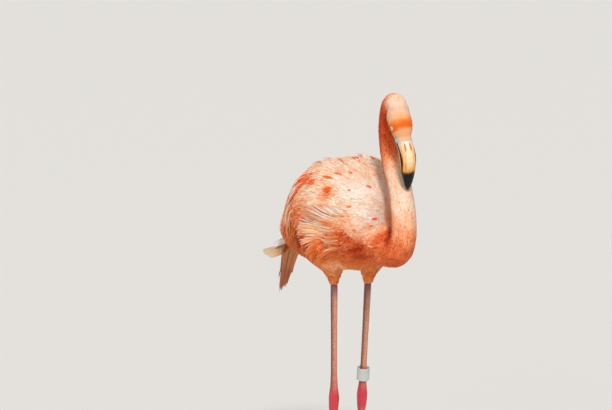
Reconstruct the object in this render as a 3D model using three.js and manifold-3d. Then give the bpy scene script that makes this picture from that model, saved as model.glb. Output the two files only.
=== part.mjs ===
// A standing American flamingo, life size, with its neck bent in an S and its bill hanging down.
// Millimetres, +X the way the breast faces, +Y its left side, +Z up, the soles of the feet at Z = 0.
import * as THREE from "three";
import { mergeVertices } from "three/addons/utils/BufferGeometryUtils.js";
import Module from "manifold-3d";

const wasm = await Module();
wasm.setup();

// Driving dimensions.
const gap = 0.3; // clearance left between pieces that touch
const cutMargin = 12; // how far a parting cut reaches past the piece it parts
const ankleHeight = 293;
const featherHem = 555; // where the thigh feathers end on the leg
const heelHeight = 15;
const headCentre = new THREE.Vector3(204, -29, 932);
const headYaw = THREE.MathUtils.degToRad(-20);
const headPitch = THREE.MathUtils.degToRad(58);
const headRoll = THREE.MathUtils.degToRad(6);

// ---------- small helpers ----------

// A smooth curve through (station, value) pairs, read at any station.
function profile(pairs) {
  const curve = new THREE.SplineCurve(pairs.map(([s, v]) => new THREE.Vector2(s, v)));
  const samples = curve.getPoints(pairs.length * 16);
  return (station) => {
    const rising = samples[0].x < samples.at(-1).x;
    const after = samples.findIndex((p) => (rising ? p.x >= station : p.x <= station));
    if (after <= 0) return after === 0 ? samples[0].y : samples.at(-1).y;
    const [a, b] = [samples[after - 1], samples[after]];
    return THREE.MathUtils.mapLinear(station, a.x, b.x, a.y, b.y);
  };
}

// A closed skin over a row of rings. Each end is closed by a fan round its middle or, where the rings are
// bent leaves with an outer row and an inner row, by a strip between the two rows.
function skinOver(rings, leaves = false) {
  const around = rings[0].length;
  const points = rings.flat();
  const faces = [];
  for (let i = 0; i + 1 < rings.length; i++) {
    for (let j = 0; j < around; j++) {
      const k = (j + 1) % around;
      const [a, b] = [i * around + j, i * around + k];
      faces.push(a, b, a + around, b, b + around, a + around);
    }
  }
  const face = (flip, a, b, c) => faces.push(a, flip ? c : b, flip ? b : c);
  const closeLeaf = (first, flip) => {
    for (let j = 0; j < around / 2 - 1; j++) {
      const [outer, inner] = [first + j, first + around - 1 - j];
      face(flip, outer, inner, inner - 1);
      face(flip, outer, inner - 1, outer + 1);
    }
  };
  const closeRound = (ring, first, flip) => {
    const middle = ring.reduce((sum, p) => sum.add(p), new THREE.Vector3()).divideScalar(around);
    const hub = points.push(middle) - 1;
    for (let j = 0; j < around; j++) {
      face(flip, hub, first + ((j + 1) % around), first + j);
    }
  };
  const last = (rings.length - 1) * around;
  [[rings[0], 0, false], [rings.at(-1), last, true]].forEach(([ring, first, flip]) => {
    if (leaves) closeLeaf(first, flip);
    else closeRound(ring, first, flip);
  });
  const geometry = new THREE.BufferGeometry().setFromPoints(points);
  geometry.setIndex(faces);
  return geometry;
}

// A three.js geometry as a solid that can be joined and cut.
function solid(geometry) {
  const bare = geometry.clone();
  bare.deleteAttribute("normal");
  bare.deleteAttribute("uv");
  const merged = mergeVertices(bare, 1e-3);
  const made = new wasm.Manifold(
    new wasm.Mesh({
      numProp: 3,
      vertProperties: new Float32Array(merged.attributes.position.array),
      triVerts: new Uint32Array(merged.index.array),
    }),
  );
  if (made.volume() > 0) return made;
  const turned = merged.index.array.slice();
  for (let i = 0; i < turned.length; i += 3) {
    [turned[i + 1], turned[i + 2]] = [turned[i + 2], turned[i + 1]];
  }
  return new wasm.Manifold(
    new wasm.Mesh({
      numProp: 3,
      vertProperties: new Float32Array(merged.attributes.position.array),
      triVerts: new Uint32Array(turned),
    }),
  );
}

// Only the largest body of a solid, so that no crumb is left by a cut.
function largest(cut) {
  return cut.decompose().sort((a, b) => b.volume() - a.volume())[0];
}

// A solid without what the tools take from it.
function cutBy(whole, ...tools) {
  return largest(tools.reduce((rest, tool) => rest.subtract(tool), whole));
}

function joined(...solids) {
  return solids.reduce((sum, next) => sum.add(next));
}

// How far a row's first and last rings move apart when its solid grows.
function endShift(i, last, grow) {
  if (i === 0) return -grow;
  return i === last ? grow : 0;
}

// A tube of oval rings along a curve. side(t) and depth(t) are its half-widths, and depth lies along lift.
function ovalTube({ curve, side, depth, lift, steps, around, grow = 0 }) {
  const rings = [];
  for (let i = 0; i <= steps; i++) {
    const t = i / steps;
    const centre = curve.getPointAt(t);
    const along = curve.getTangentAt(t);
    const across = new THREE.Vector3().crossVectors(along, lift).normalize();
    const up = new THREE.Vector3().crossVectors(across, along).normalize();
    centre.addScaledVector(along, endShift(i, steps, grow));
    rings.push(
      Array.from({ length: around }, (_, j) => {
        const angle = (2 * Math.PI * j) / around;
        return centre
          .clone()
          .addScaledVector(across, Math.cos(angle) * (side(t) + grow))
          .addScaledVector(up, Math.sin(angle) * (depth(t) + grow));
      }),
    );
  }
  return solid(skinOver(rings));
}

function smoothPath(...points) {
  return new THREE.CatmullRomCurve3(points.map((p) => new THREE.Vector3(...p)), false, "centripetal");
}

// A thin disc across a curve, which parts a tube in two.
function cutAcross(curve, t, radius) {
  const disc = new THREE.CylinderGeometry(radius, radius, gap, 16);
  const along = curve.getTangentAt(t);
  disc.applyQuaternion(new THREE.Quaternion().setFromUnitVectors(new THREE.Vector3(0, 1, 0), along));
  disc.translate(...curve.getPointAt(t));
  return solid(disc);
}

// A cut solid's bodies, in the order in which they lie along a curve.
function partsAlong(curve, cut) {
  const place = (body) => {
    const { min, max } = body.boundingBox();
    const middle = new THREE.Vector3(...min).add(new THREE.Vector3(...max)).divideScalar(2);
    const spots = curve.getSpacedPoints(60).map((p) => p.distanceTo(middle));
    return spots.indexOf(Math.min(...spots));
  };
  return cut.decompose().sort((a, b) => place(a) - place(b));
}

// ---------- trunk ----------

const trunk = {
  front: 150,
  back: -230,
  top: profile([
    [150, 716], [140, 758], [118, 790], [80, 814], [30, 828], [-20, 826], [-80, 800],
    [-140, 742], [-185, 690], [-214, 650], [-230, 622],
  ]),
  bottom: profile([
    [150, 700], [140, 656], [118, 622], [80, 598], [30, 588], [-20, 584], [-80, 582],
    [-140, 584], [-185, 590], [-214, 601], [-230, 612],
  ]),
  halfWidth: profile([
    [150, 8], [140, 44], [118, 72], [80, 92], [30, 101], [-20, 101], [-80, 90],
    [-140, 62], [-185, 40], [-214, 23], [-230, 8],
  ]),
  squareness: 0.9, // under 1 fills the corners of each oval a little
  keel: 0.14, // how much narrower the underside is
};

// A point of the trunk's outside at a station along X, at an angle from the back's ridge (0) towards one
// side. rise pushes it outwards.
function trunkPoint(x, angle, side, rise = 0) {
  const [high, low] = [trunk.top(x), trunk.bottom(x)];
  const [c, s] = [Math.cos(angle), Math.sin(angle)];
  const fill = (v) => Math.sign(v) * Math.abs(v) ** trunk.squareness;
  const narrowing = 1 - trunk.keel * Math.max(0, -c);
  return new THREE.Vector3(
    x,
    side * (trunk.halfWidth(x) * narrowing + rise) * fill(s),
    (high + low) / 2 + ((high - low) / 2 + rise) * fill(c),
  );
}

function trunkSolid(grow = 0) {
  const rings = [];
  const [steps, around] = [20, 20];
  for (let i = 0; i <= steps; i++) {
    // Stations crowd towards both round ends.
    const share = (1 - Math.cos((Math.PI * i) / steps)) / 2;
    const x = THREE.MathUtils.lerp(trunk.front, trunk.back, share);
    const end = endShift(i, steps, grow);
    rings.push(
      Array.from({ length: around }, (_, j) => {
        const point = trunkPoint(x, (2 * Math.PI * j) / around, 1, grow);
        return point.setX(x - end);
      }),
    );
  }
  return solid(skinOver(rings));
}

// ---------- folded wings, which wrap the trunk's sides ----------

const wing = {
  front: 96,
  back: -226,
  upperEdge: profile([
    [96, 0.95], [60, 0.5], [10, 0.3], [-60, 0.2], [-140, 0.16], [-200, 0.18], [-226, 0.55],
  ]),
  lowerEdge: profile([
    [96, 1.25], [60, 1.42], [10, 1.56], [-60, 1.68], [-130, 1.78], [-195, 1.78], [-226, 1.15],
  ]),
  rise: profile([[96, 2.5], [60, 8], [10, 12], [-60, 11], [-140, 9], [-200, 7], [-226, 4]]),
  sunk: profile([[96, 8], [-100, 8], [-180, 6], [-226, 2.5]]),
  rim: 0.4, // thickness of the wing's edges, as a share of its middle
};

function wingSolid(side, grow = 0) {
  const rings = [];
  const [steps, across] = [14, 7];
  for (let i = 0; i <= steps; i++) {
    const x = THREE.MathUtils.lerp(wing.front, wing.back, i / steps);
    const [from, to] = [wing.upperEdge(x), wing.lowerEdge(x)];
    const end = endShift(i, steps, grow);
    const swell = (share) => wing.rim + (1 - wing.rim) * Math.sqrt(1 - (2 * share - 1) ** 4);
    const row = (shift, height) =>
      Array.from({ length: across }, (_, j) => {
        const share = j / (across - 1);
        const slack = endShift(j, across - 1, grow) / trunk.halfWidth(x);
        const angle = THREE.MathUtils.lerp(from, to, share) + slack;
        return trunkPoint(x, angle, side, height(share)).setX(x - shift);
      });
    const outer = row(end, (share) => wing.rise(x) * swell(share) + grow);
    const inner = row(0, (share) => -wing.sunk(x) * swell(share) - grow).reverse();
    rings.push([...outer, ...inner]);
  }
  return solid(skinOver(rings, true));
}

// ---------- neck ----------

const neckPath = smoothPath(
  [62, 0, 706], [130, -3, 668], [177, -12, 660], [202, -16, 692], [204, -17, 735], [191, -16, 790],
  [163, -12, 842], [143, -7, 888], [138, -5, 928], [154, -11, 964], [183, -21, 969], [203, -29, 944],
);
const neckRadius = profile([
  [0, 84], [0.1, 66], [0.17, 52], [0.25, 35], [0.33, 28.5], [0.45, 27], [0.6, 25], [0.75, 22],
  [0.85, 20.5], [0.93, 21], [1, 21],
]);
const neckJoints = [0.19, 0.43, 0.69]; // shares of the path where breast, lower, middle and upper neck part

function neckSolid(grow = 0) {
  return ovalTube({
    curve: neckPath,
    side: neckRadius,
    depth: neckRadius,
    lift: new THREE.Vector3(0, 1, 0),
    steps: 30,
    around: 12,
    grow,
  });
}

// ---------- head and bill, made level along +X and then turned to hang ----------

const hangHead = new THREE.Matrix4()
  .makeTranslation(headCentre)
  .multiply(new THREE.Matrix4().makeRotationZ(headYaw))
  .multiply(new THREE.Matrix4().makeRotationX(headRoll))
  .multiply(new THREE.Matrix4().makeRotationY(headPitch));

function hung(made) {
  return made.transform(hangHead.elements);
}

// Rings across the level head's X, each an oval from low to high.
function levelLoft({ from, to, steps, around, high, low, half, grow = 0 }) {
  const rings = [];
  for (let i = 0; i <= steps; i++) {
    const share = (1 - Math.cos((Math.PI * i) / steps)) / 2;
    const x = from + (to - from) * share;
    const [top, bottom, width] = [high(x) + grow, low(x) - grow, half(x) + grow];
    const end = endShift(i, steps, grow);
    rings.push(
      Array.from({ length: around }, (_, j) => {
        const angle = (2 * Math.PI * j) / around;
        return new THREE.Vector3(
          x + end,
          width * Math.sin(angle),
          (top + bottom) / 2 + ((top - bottom) / 2) * Math.cos(angle),
        );
      }),
    );
  }
  return solid(skinOver(rings));
}

function headSolid(grow = 0) {
  return levelLoft({
    from: -38,
    to: 38,
    steps: 11,
    around: 14,
    high: profile([[-38, 4], [-32, 16], [-18, 25], [-2, 27.5], [12, 25], [24, 18.5], [34, 12.5], [38, 8]]),
    low: profile([[-38, -3], [-32, -14], [-18, -20], [-2, -21], [12, -20.5], [24, -20], [34, -16], [38, -8]]),
    half: profile([[-38, 4], [-32, 15], [-18, 22.5], [-2, 25], [12, 24], [24, 19.5], [34, 14.5], [38, 7]]),
    grow,
  });
}

// The gape, from the corner of the mouth to the tip, with the sharp bend of a flamingo's bill.
const gape = smoothPath(
  [22, 0, -5], [44, 0, -3.5], [63, 0, -3], [77, 0, -8], [89, 0, -20], [101, 0, -36], [113, 0, -53],
  [120, 0, -64],
);
const bill = {
  steps: 13,
  upperRise: profile([[0, 17], [0.2, 14], [0.42, 11], [0.6, 9.5], [0.8, 7.5], [0.93, 5.5], [1, 3]]),
  lowerDrop: profile([[0, 14], [0.2, 17], [0.42, 23], [0.56, 21], [0.75, 13], [0.9, 7], [1, 2.5]]),
  upperHalf: profile([[0, 17], [0.2, 15.5], [0.42, 14.5], [0.65, 13.5], [0.82, 10.5], [0.93, 6.5], [1, 2.4]]),
  lowerHalf: profile([[0, 17.5], [0.2, 17], [0.42, 17], [0.65, 14.5], [0.82, 10], [0.93, 5.5], [1, 1.8]]),
  fullness: 0.8, // under 1 fills the corners of the dome
};

// One jaw: a dome over (or under) the gape, with a flat face along it.
function jawSolid({ rise, half, up, around, grow = 0 }) {
  const rings = [];
  for (let i = 0; i <= bill.steps; i++) {
    const t = i / bill.steps;
    const centre = gape.getPointAt(t);
    const along = gape.getTangentAt(t);
    const lift = new THREE.Vector3(-along.z, 0, along.x).multiplyScalar(up);
    centre.addScaledVector(along, endShift(i, bill.steps, grow));
    centre.addScaledVector(lift, gap / 2 - grow);
    rings.push(
      Array.from({ length: around }, (_, j) => {
        const angle = (Math.PI * j) / (around - 1);
        return centre
          .clone()
          .addScaledVector(lift, (rise(t) + 2 * grow) * Math.sin(angle) ** bill.fullness)
          .add(new THREE.Vector3(0, (half(t) + grow) * Math.cos(angle), 0));
      }),
    );
  }
  return solid(skinOver(rings));
}

function upperJaw(grow = 0) {
  return jawSolid({ rise: bill.upperRise, half: bill.upperHalf, up: 1, around: 9, grow });
}

function lowerJaw(grow = 0) {
  return jawSolid({ rise: bill.lowerDrop, half: bill.lowerHalf, up: -1, around: 9, grow });
}

const eye = { radius: 6.5, forward: 9, up: 4.5, out: 18.6 }; // its place on the level head

function eyeSolid(side, grow = 0) {
  const ball = new THREE.SphereGeometry(eye.radius + grow, 10, 7);
  ball.translate(eye.forward, side * eye.out, eye.up);
  return hung(solid(ball));
}

// ---------- tail ----------

const tail = {
  root: new THREE.Vector3(-186, 0, 612),
  droop: THREE.MathUtils.degToRad(15),
  length: 127,
  rootHalf: 24,
  tipHalf: 38,
  rootThick: 24,
  tipThick: 5,
  camber: 0.55, // the sides hang lower than the middle, as a share of the half-width
  lobes: 5, // feather tips along the end
};

const fan = {
  steps: 5,
  rounding: 0.22, // how far the outer feathers fall short of the middle one, as a share of the length
  notch: 0.05, // depth of the notches between feather tips, as a share of the length
  notchFrom: 0.8, // where the notches begin
  edgeThinning: 0.7, // how much thinner the fan is at its sides
};

// A fan of stiff feathers: an outline with a rounded, notched end, thinning towards its tips.
function fanSolid({ length, rootHalf, tipHalf, rootThick, tipThick, camber, lobes }) {
  const rings = [];
  const columns = lobes * 2 + 1;
  for (let i = 0; i <= fan.steps; i++) {
    const t = i / fan.steps;
    const thick = THREE.MathUtils.lerp(rootThick, tipThick, Math.sqrt(t)) / 2;
    const half = THREE.MathUtils.lerp(rootHalf, tipHalf, Math.sin((t * Math.PI) / 2));
    const reach = (share) => {
      const round = 1 - fan.rounding * (2 * share - 1) ** 2;
      const notch = 1 - fan.notch * (1 - Math.abs(Math.sin(lobes * Math.PI * share)));
      return length * t * round * (t > fan.notchFrom ? notch : 1);
    };
    const edge = (share) => 1 - fan.edgeThinning * (2 * share - 1) ** 4;
    const row = (sign) =>
      Array.from({ length: columns }, (_, j) => {
        const share = sign > 0 ? j / (columns - 1) : 1 - j / (columns - 1);
        const sag = -camber * half * (2 * share - 1) ** 2;
        return new THREE.Vector3(
          -reach(share),
          half * (2 * share - 1),
          sag + sign * thick * edge(share),
        );
      });
    rings.push([...row(1), ...row(-1)]);
  }
  return solid(skinOver(rings, true));
}

function drooping(shape) {
  const place = new THREE.Matrix4()
    .makeTranslation(shape.root)
    .multiply(new THREE.Matrix4().makeRotationY(-shape.droop));
  return fanSolid(shape).transform(place.elements);
}

// The loose feathers that hang under the tail.
const ventPlume = {
  root: new THREE.Vector3(-178, -8, 618),
  droop: THREE.MathUtils.degToRad(68),
  length: 134,
  rootHalf: 30,
  tipHalf: 17,
  rootThick: 22,
  tipThick: 4,
  camber: 0.3,
  lobes: 3,
};

// ---------- legs ----------

const legs = [
  {
    name: "right",
    side: -1,
    hip: [-16, -68, 655],
    knee: [-9, -33, featherHem],
    ankle: [-11, -31, ankleHeight],
    heel: [-28, -36, heelHeight],
  },
  {
    name: "left",
    side: 1,
    hip: [20, 68, 655],
    knee: [25, 33, featherHem],
    ankle: [3, 36, ankleHeight],
    heel: [-16, 40, heelHeight],
  },
];
const thighHalf = profile([[0, 38], [0.2, 54], [0.36, 60], [0.52, 53], [0.74, 32], [0.88, 18], [1, 10]]);
const thighSide = profile([[0, 30], [0.2, 40], [0.36, 42], [0.52, 38], [0.74, 26], [0.88, 15], [1, 9.5]]);
const shinHalf = profile([
  [0, 8.6], [0.25, 7.4], [0.4, 7.5], [0.44, 8.5], [0.475, 10], [0.505, 13], [0.525, 13.4], [0.55, 10.8],
  [0.6, 7.8], [0.8, 6.6], [0.95, 6.8], [1, 8],
]);
const shinSide = profile([
  [0, 8.2], [0.25, 7], [0.4, 7.2], [0.44, 8.2], [0.475, 9.4], [0.505, 12], [0.525, 12], [0.55, 9.6],
  [0.6, 6.8], [0.8, 5.6], [0.95, 6.2], [1, 7.5],
]);
const shinJoints = [0.45, 0.575]; // shares of the path where shank, ankle and tarsus part
const thighBend = {
  flankForward: 14, // the flank end's place, measured from the hip
  flankUp: 62,
  flankOut: 0.62, // share of the hip's distance out from the middle
  calfUp: 42, // above the hem
  calfOut: 1.2, // share of the knee's distance out from the middle
};
const shin = {
  intoThigh: 1.1, // how far up inside the thigh it starts, as a share of the way from ankle to knee
  onShank: [0.4, 0.8], // shares of the way from knee to ankle where the path is held straight
  onTarsus: [0.3, 0.7], // the same, from ankle to heel
};
const forward = new THREE.Vector3(1, 0, 0);
const upward = new THREE.Vector3(0, 0, 1);

// The feathered thigh runs from inside the flank, out over the hip and down to the hem.
function thighSolid(leg) {
  const [x, y, z] = leg.hip;
  const { flankForward, flankUp, flankOut, calfUp, calfOut } = thighBend;
  const flank = [x + flankForward, y * flankOut, z + flankUp];
  const calf = [leg.knee[0], leg.knee[1] * calfOut, featherHem + calfUp];
  const path = smoothPath(flank, leg.hip, calf, leg.knee);
  return ovalTube({ curve: path, side: thighSide, depth: thighHalf, lift: forward, steps: 10, around: 12 });
}

// The bare leg: from inside the thigh's hem, straight to the ankle joint and on to the heel.
function shinPath(leg) {
  const between = (from, to, share) => from.map((v, i) => THREE.MathUtils.lerp(v, to[i], share));
  return smoothPath(
    between(leg.ankle, leg.knee, shin.intoThigh),
    ...shin.onShank.map((share) => between(leg.knee, leg.ankle, share)),
    leg.ankle,
    ...shin.onTarsus.map((share) => between(leg.ankle, leg.heel, share)),
    leg.heel,
  );
}

function shinSolid(leg, grow = 0) {
  return ovalTube({
    curve: shinPath(leg),
    side: shinSide,
    depth: shinHalf,
    lift: forward,
    steps: 24,
    around: 8,
    grow,
  });
}

// ---------- webbed feet and claws ----------

const toes = [
  { name: "inner", turn: 24, length: 68 }, // turn: degrees, inwards from straight ahead
  { name: "middle", turn: -2, length: 84 },
  { name: "outer", turn: -29, length: 76 },
];
const toeRadius = profile([[0, 7.5], [0.25, 5.6], [0.6, 5], [0.9, 4.4], [1, 3.4]]);
const toeHeight = profile([[0, 10], [0.4, 5.5], [1, 3.4]]); // of its middle line above the floor
const hindToe = { name: "hind", turn: 168, length: 17 };
const hindToeRadius = profile([[0, 5], [1, 3]]);
const hindToeHeight = profile([[0, 13], [0.6, 9], [1, 6]]);
const heel = { radius: 10, sunk: 0.5 }; // sunk: how much of its round underside the floor flattens
const web = { thick: 1.6, reach: 0.9, hollow: 0.62 }; // reach and hollow: shares of the toes' length
const claw = {
  length: 9,
  radius: 3,
  tip: 0.8, // radius at its point
  taper: 0.7, // under 1 keeps it full until near the point
  sunk: 5, // how far its root goes into the toe
  back: 1, // how far short of the toe's end its root is set
  frontDip: -0.12, // how steeply the claws of the front toes and of the hind toe point down
  hindDip: -0.55,
};

// The direction of a toe on a foot, mirrored on the right foot.
function toeWay(leg, turn) {
  const angle = THREE.MathUtils.degToRad(-turn * leg.side);
  return new THREE.Vector3(Math.cos(angle), Math.sin(angle), 0);
}

// A point on a foot, so far from the heel in a direction and so high.
function footPoint(leg, turn, reach, height) {
  const start = new THREE.Vector3(leg.heel[0], leg.heel[1], 0);
  return start.addScaledVector(toeWay(leg, turn), reach).setZ(height);
}

function toeSolid(leg, { turn, length }, height, radius) {
  const stations = [0, 0.3, 0.65, 1];
  const path = smoothPath(...stations.map((t) => footPoint(leg, turn, length * t, height(t)).toArray()));
  return ovalTube({ curve: path, side: radius, depth: radius, lift: upward, steps: 3, around: 6 });
}

// The web is a flat leaf over the three toes, with a hollow edge between their tips.
function webSolid(leg) {
  const outline = new THREE.Shape();
  const flat = (turn, reach) => footPoint(leg, turn, reach, 0);
  const back = flat(0, 0);
  outline.moveTo(back.x, back.y);
  toes.forEach((toe, i) => {
    const tip = flat(toe.turn, toe.length * web.reach);
    const next = toes[i + 1];
    if (i === 0) outline.lineTo(tip.x, tip.y);
    if (!next) return;
    const dip = flat((toe.turn + next.turn) / 2, Math.min(toe.length, next.length) * web.hollow);
    const end = flat(next.turn, next.length * web.reach);
    outline.quadraticCurveTo(dip.x, dip.y, end.x, end.y);
  });
  outline.closePath();
  const shape = { depth: web.thick, bevelEnabled: false, curveSegments: 3 };
  return solid(new THREE.ExtrudeGeometry(outline, shape));
}

// All that lies below the floor.
const underFloor = solid(new THREE.BoxGeometry(400, 400, 40).translate(0, 0, -20));

function footSolid(leg) {
  const ball = new THREE.SphereGeometry(heel.radius, 7, 5);
  ball.translate(leg.heel[0], leg.heel[1], heel.radius - heel.sunk);
  const frontToes = toes.map((toe) => toeSolid(leg, toe, toeHeight, toeRadius));
  const backToe = toeSolid(leg, hindToe, hindToeHeight, hindToeRadius);
  return joined(...frontToes, backToe, webSolid(leg), solid(ball)).subtract(underFloor);
}

function clawSolid({ root, way }, grow = 0) {
  const path = new THREE.LineCurve3(
    root.clone().addScaledVector(way, -claw.sunk),
    root.clone().addScaledVector(way, claw.length),
  );
  const radius = (t) => Math.max(claw.tip, claw.radius * (1 - t) ** claw.taper);
  const size = { side: radius, depth: radius, steps: 2, around: 6, grow };
  return ovalTube({ curve: path, lift: upward, ...size }).subtract(underFloor);
}

function clawsOf(leg) {
  const place = (toe, height, dip) => ({
    name: toe.name,
    root: footPoint(leg, toe.turn, toe.length - claw.back, height(1)),
    way: toeWay(leg, toe.turn).setZ(dip).normalize(),
  });
  return [
    ...toes.map((toe) => place(toe, toeHeight, claw.frontDip)),
    place(hindToe, hindToeHeight, claw.hindDip),
  ];
}

// ---------- leg band ----------

const band = {
  inner: 9.1,
  outer: 13.8,
  height: 28,
  edge: 0.8, // how far its rims are rounded
  down: 0.8, // how far down the bare shin it sits, as a share
};

function bandSolid(leg) {
  const path = new THREE.LineCurve3(new THREE.Vector3(...leg.knee), new THREE.Vector3(...leg.ankle));
  const along = path.getTangent(0);
  const [half, soft] = [band.height / 2, band.edge];
  const section = [
    [band.inner, -half], [band.outer - soft, -half], [band.outer, soft - half], [band.outer, half - soft],
    [band.outer - soft, half], [band.inner, half], [band.inner, -half],
  ];
  const ring = new THREE.LatheGeometry(section.map(([r, h]) => new THREE.Vector2(r, h)), 16);
  ring.applyQuaternion(new THREE.Quaternion().setFromUnitVectors(new THREE.Vector3(0, 1, 0), along));
  ring.translate(...path.getPoint(band.down));
  return solid(ring);
}

// ---------- finishes ----------

const finish = (color, roughness = 0.7) => new THREE.MeshStandardMaterial({ color, roughness, metalness: 0 });
const bodyFeather = finish("#f3b49a", 0.8);
const wingFeather = finish("#f7c3ad", 0.8);
const neckFeather = finish("#f2a07c", 0.8);
const faceFeather = finish("#f08a50", 0.8);
const billHorn = finish("#ecd9b4", 0.4);
const irisYellow = finish("#e8d27a", 0.15);
const legSkin = finish("#c98a94", 0.5);
const ankleSkin = finish("#d2506a", 0.5);
const clawHorn = finish("#3a2a2c", 0.4);
const bandPlastic = finish("#c9ced0", 0.4);

// ---------- assembly ----------

const flamingo = new THREE.Group();

function addPiece(name, made, material) {
  const { vertProperties, triVerts, numProp } = made.getMesh();
  const position = new Float32Array((vertProperties.length / numProp) * 3);
  for (let i = 0; i < position.length / 3; i++) {
    position.set(vertProperties.subarray(i * numProp, i * numProp + 3), i * 3);
  }
  const geometry = new THREE.BufferGeometry();
  geometry.setAttribute("position", new THREE.BufferAttribute(position, 3));
  geometry.setIndex(new THREE.BufferAttribute(new Uint32Array(triVerts), 1));
  geometry.computeVertexNormals();
  const mesh = new THREE.Mesh(geometry, material);
  mesh.name = name;
  flamingo.add(mesh);
}

const grownTrunk = trunkSolid(gap);
const grownWings = [wingSolid(1, gap), wingSolid(-1, gap)];
const grownHead = hung(headSolid(gap));
const grownTail = { ...tail, rootThick: tail.rootThick + 2 * gap, tipThick: tail.tipThick + 2 * gap };

const neckCuts = neckJoints.map((t) => cutAcross(neckPath, t, neckRadius(t) + cutMargin));
const partedNeck = neckCuts.reduce((rest, disc) => rest.subtract(disc), neckSolid());
const [neckRoot, ...freeNeck] = partsAlong(neckPath, partedNeck);
addPiece("trunk", cutBy(joined(trunkSolid(), neckRoot), ...grownWings), bodyFeather);
addPiece("wing_left", cutBy(wingSolid(1), wingSolid(-1, gap)), wingFeather);
addPiece("wing_right", wingSolid(-1), wingFeather);
["neck_lower", "neck_middle", "neck_upper"].forEach((name, i) => {
  addPiece(name, cutBy(freeNeck[i], grownTrunk, grownHead), neckFeather);
});

addPiece("head", cutBy(hung(headSolid()), eyeSolid(1, gap), eyeSolid(-1, gap)), faceFeather);
addPiece("bill_upper", cutBy(hung(upperJaw()), grownHead), billHorn);
addPiece("bill_lower", cutBy(hung(lowerJaw()), grownHead), billHorn);
addPiece("eye_left", eyeSolid(1), irisYellow);
addPiece("eye_right", eyeSolid(-1), irisYellow);

addPiece("tail", cutBy(drooping(tail), grownTrunk, ...grownWings), wingFeather);
const plume = cutBy(drooping(ventPlume), grownTrunk, ...grownWings, drooping(grownTail));
addPiece("vent_plume", plume, wingFeather);

for (const leg of legs) {
  const path = shinPath(leg);
  const thigh = cutBy(thighSolid(leg), grownTrunk, ...grownWings, shinSolid(leg, gap));
  addPiece(`thigh_${leg.name}`, thigh, bodyFeather);
  const cuts = shinJoints.map((t) => cutAcross(path, t, shinHalf(t) + cutMargin));
  const parted = cuts.reduce((rest, disc) => rest.subtract(disc), shinSolid(leg));
  const [shank, ankle, tarsus] = partsAlong(path, parted);
  addPiece(`shank_${leg.name}`, shank, legSkin);
  addPiece(`ankle_${leg.name}`, ankle, ankleSkin);
  addPiece(`tarsus_${leg.name}`, tarsus, legSkin);
  const claws = clawsOf(leg);
  const sockets = claws.map((each) => clawSolid(each, gap));
  addPiece(`foot_${leg.name}`, cutBy(footSolid(leg), shinSolid(leg, gap), ...sockets), legSkin);
  claws.forEach((each) => addPiece(`claw_${leg.name}_${each.name}`, clawSolid(each), clawHorn));
}
addPiece("leg_band", bandSolid(legs[1]), bandPlastic);

// The origin goes under the middle of the whole bird, on the floor.
const bounds = new THREE.Box3().setFromObject(flamingo);
const middle = bounds.getCenter(new THREE.Vector3());
flamingo.children.forEach((piece) => piece.geometry.translate(-middle.x, -middle.y, -bounds.min.z));

export default flamingo;
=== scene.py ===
import math
import bpy
import numpy as np
from mathutils import Matrix, Vector, kdtree
from mathutils.bvhtree import BVHTree


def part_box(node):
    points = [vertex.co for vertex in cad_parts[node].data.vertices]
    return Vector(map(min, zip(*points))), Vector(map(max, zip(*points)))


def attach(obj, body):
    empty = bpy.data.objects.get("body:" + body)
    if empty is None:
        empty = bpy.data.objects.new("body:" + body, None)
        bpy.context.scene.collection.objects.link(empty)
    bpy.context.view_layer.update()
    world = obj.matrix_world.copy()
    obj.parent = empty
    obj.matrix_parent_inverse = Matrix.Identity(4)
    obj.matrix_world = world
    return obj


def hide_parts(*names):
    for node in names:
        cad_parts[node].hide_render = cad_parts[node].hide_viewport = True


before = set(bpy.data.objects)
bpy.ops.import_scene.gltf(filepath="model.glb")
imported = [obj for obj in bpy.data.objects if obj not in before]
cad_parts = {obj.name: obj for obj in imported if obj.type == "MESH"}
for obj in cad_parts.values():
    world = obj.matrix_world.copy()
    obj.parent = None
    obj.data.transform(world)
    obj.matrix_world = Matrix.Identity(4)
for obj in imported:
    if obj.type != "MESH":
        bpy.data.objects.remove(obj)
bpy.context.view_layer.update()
rng = np.random.default_rng(7)

# The bird's own origin: the floor between its legs. The trunk's rear end lies 230 mm behind it.
birdOrigin = Vector((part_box("trunk")[0].x + 0.230, 0, 0))
originArray = np.array(birdOrigin)
weld = 0.00002  # metres; mesh points closer than this are one


def fromBird(place):  # millimetres from the bird's origin, to metres in the frame
    return birdOrigin + Vector(place) / 1000


def toBird(co):
    return (co - originArray) * 1000


def colour(hexCode):  # sRGB hex to the linear colour that shaders take
    channels = [int(hexCode[i:i + 2], 16) / 255 for i in (1, 3, 5)]
    return [c / 12.92 if c <= 0.04045 else ((c + 0.055) / 1.055) ** 2.4 for c in channels] + [1]


def smooth(low, high, value):  # 0 below low, 1 above high, with soft ends
    t = np.clip((value - low) / (high - low), 0, 1)
    return t * t * (3 - 2 * t)


def hump(value, middle, half):  # 1 in the middle, falling softly to both sides
    return np.exp(-(((value - middle) / half) ** 2))


def unit(vectors):
    return vectors / (np.linalg.norm(vectors, axis=-1, keepdims=True) + 1e-12)


def squareTo(normals, ways):  # each way, laid square to its normal
    return unit(ways - (ways * normals).sum(-1, keepdims=True) * normals)


def connect(tree, node, values):  # a value is a setting, another node's output, or an attribute's name
    for socket, value in values.items():
        if isinstance(value, str):
            value = addNode(tree, "Attribute", out="Fac", attribute_name=value)
        if isinstance(value, bpy.types.NodeSocket):
            tree.links.new(value, node.inputs[socket])
        else:
            node.inputs[socket].default_value = value


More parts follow.
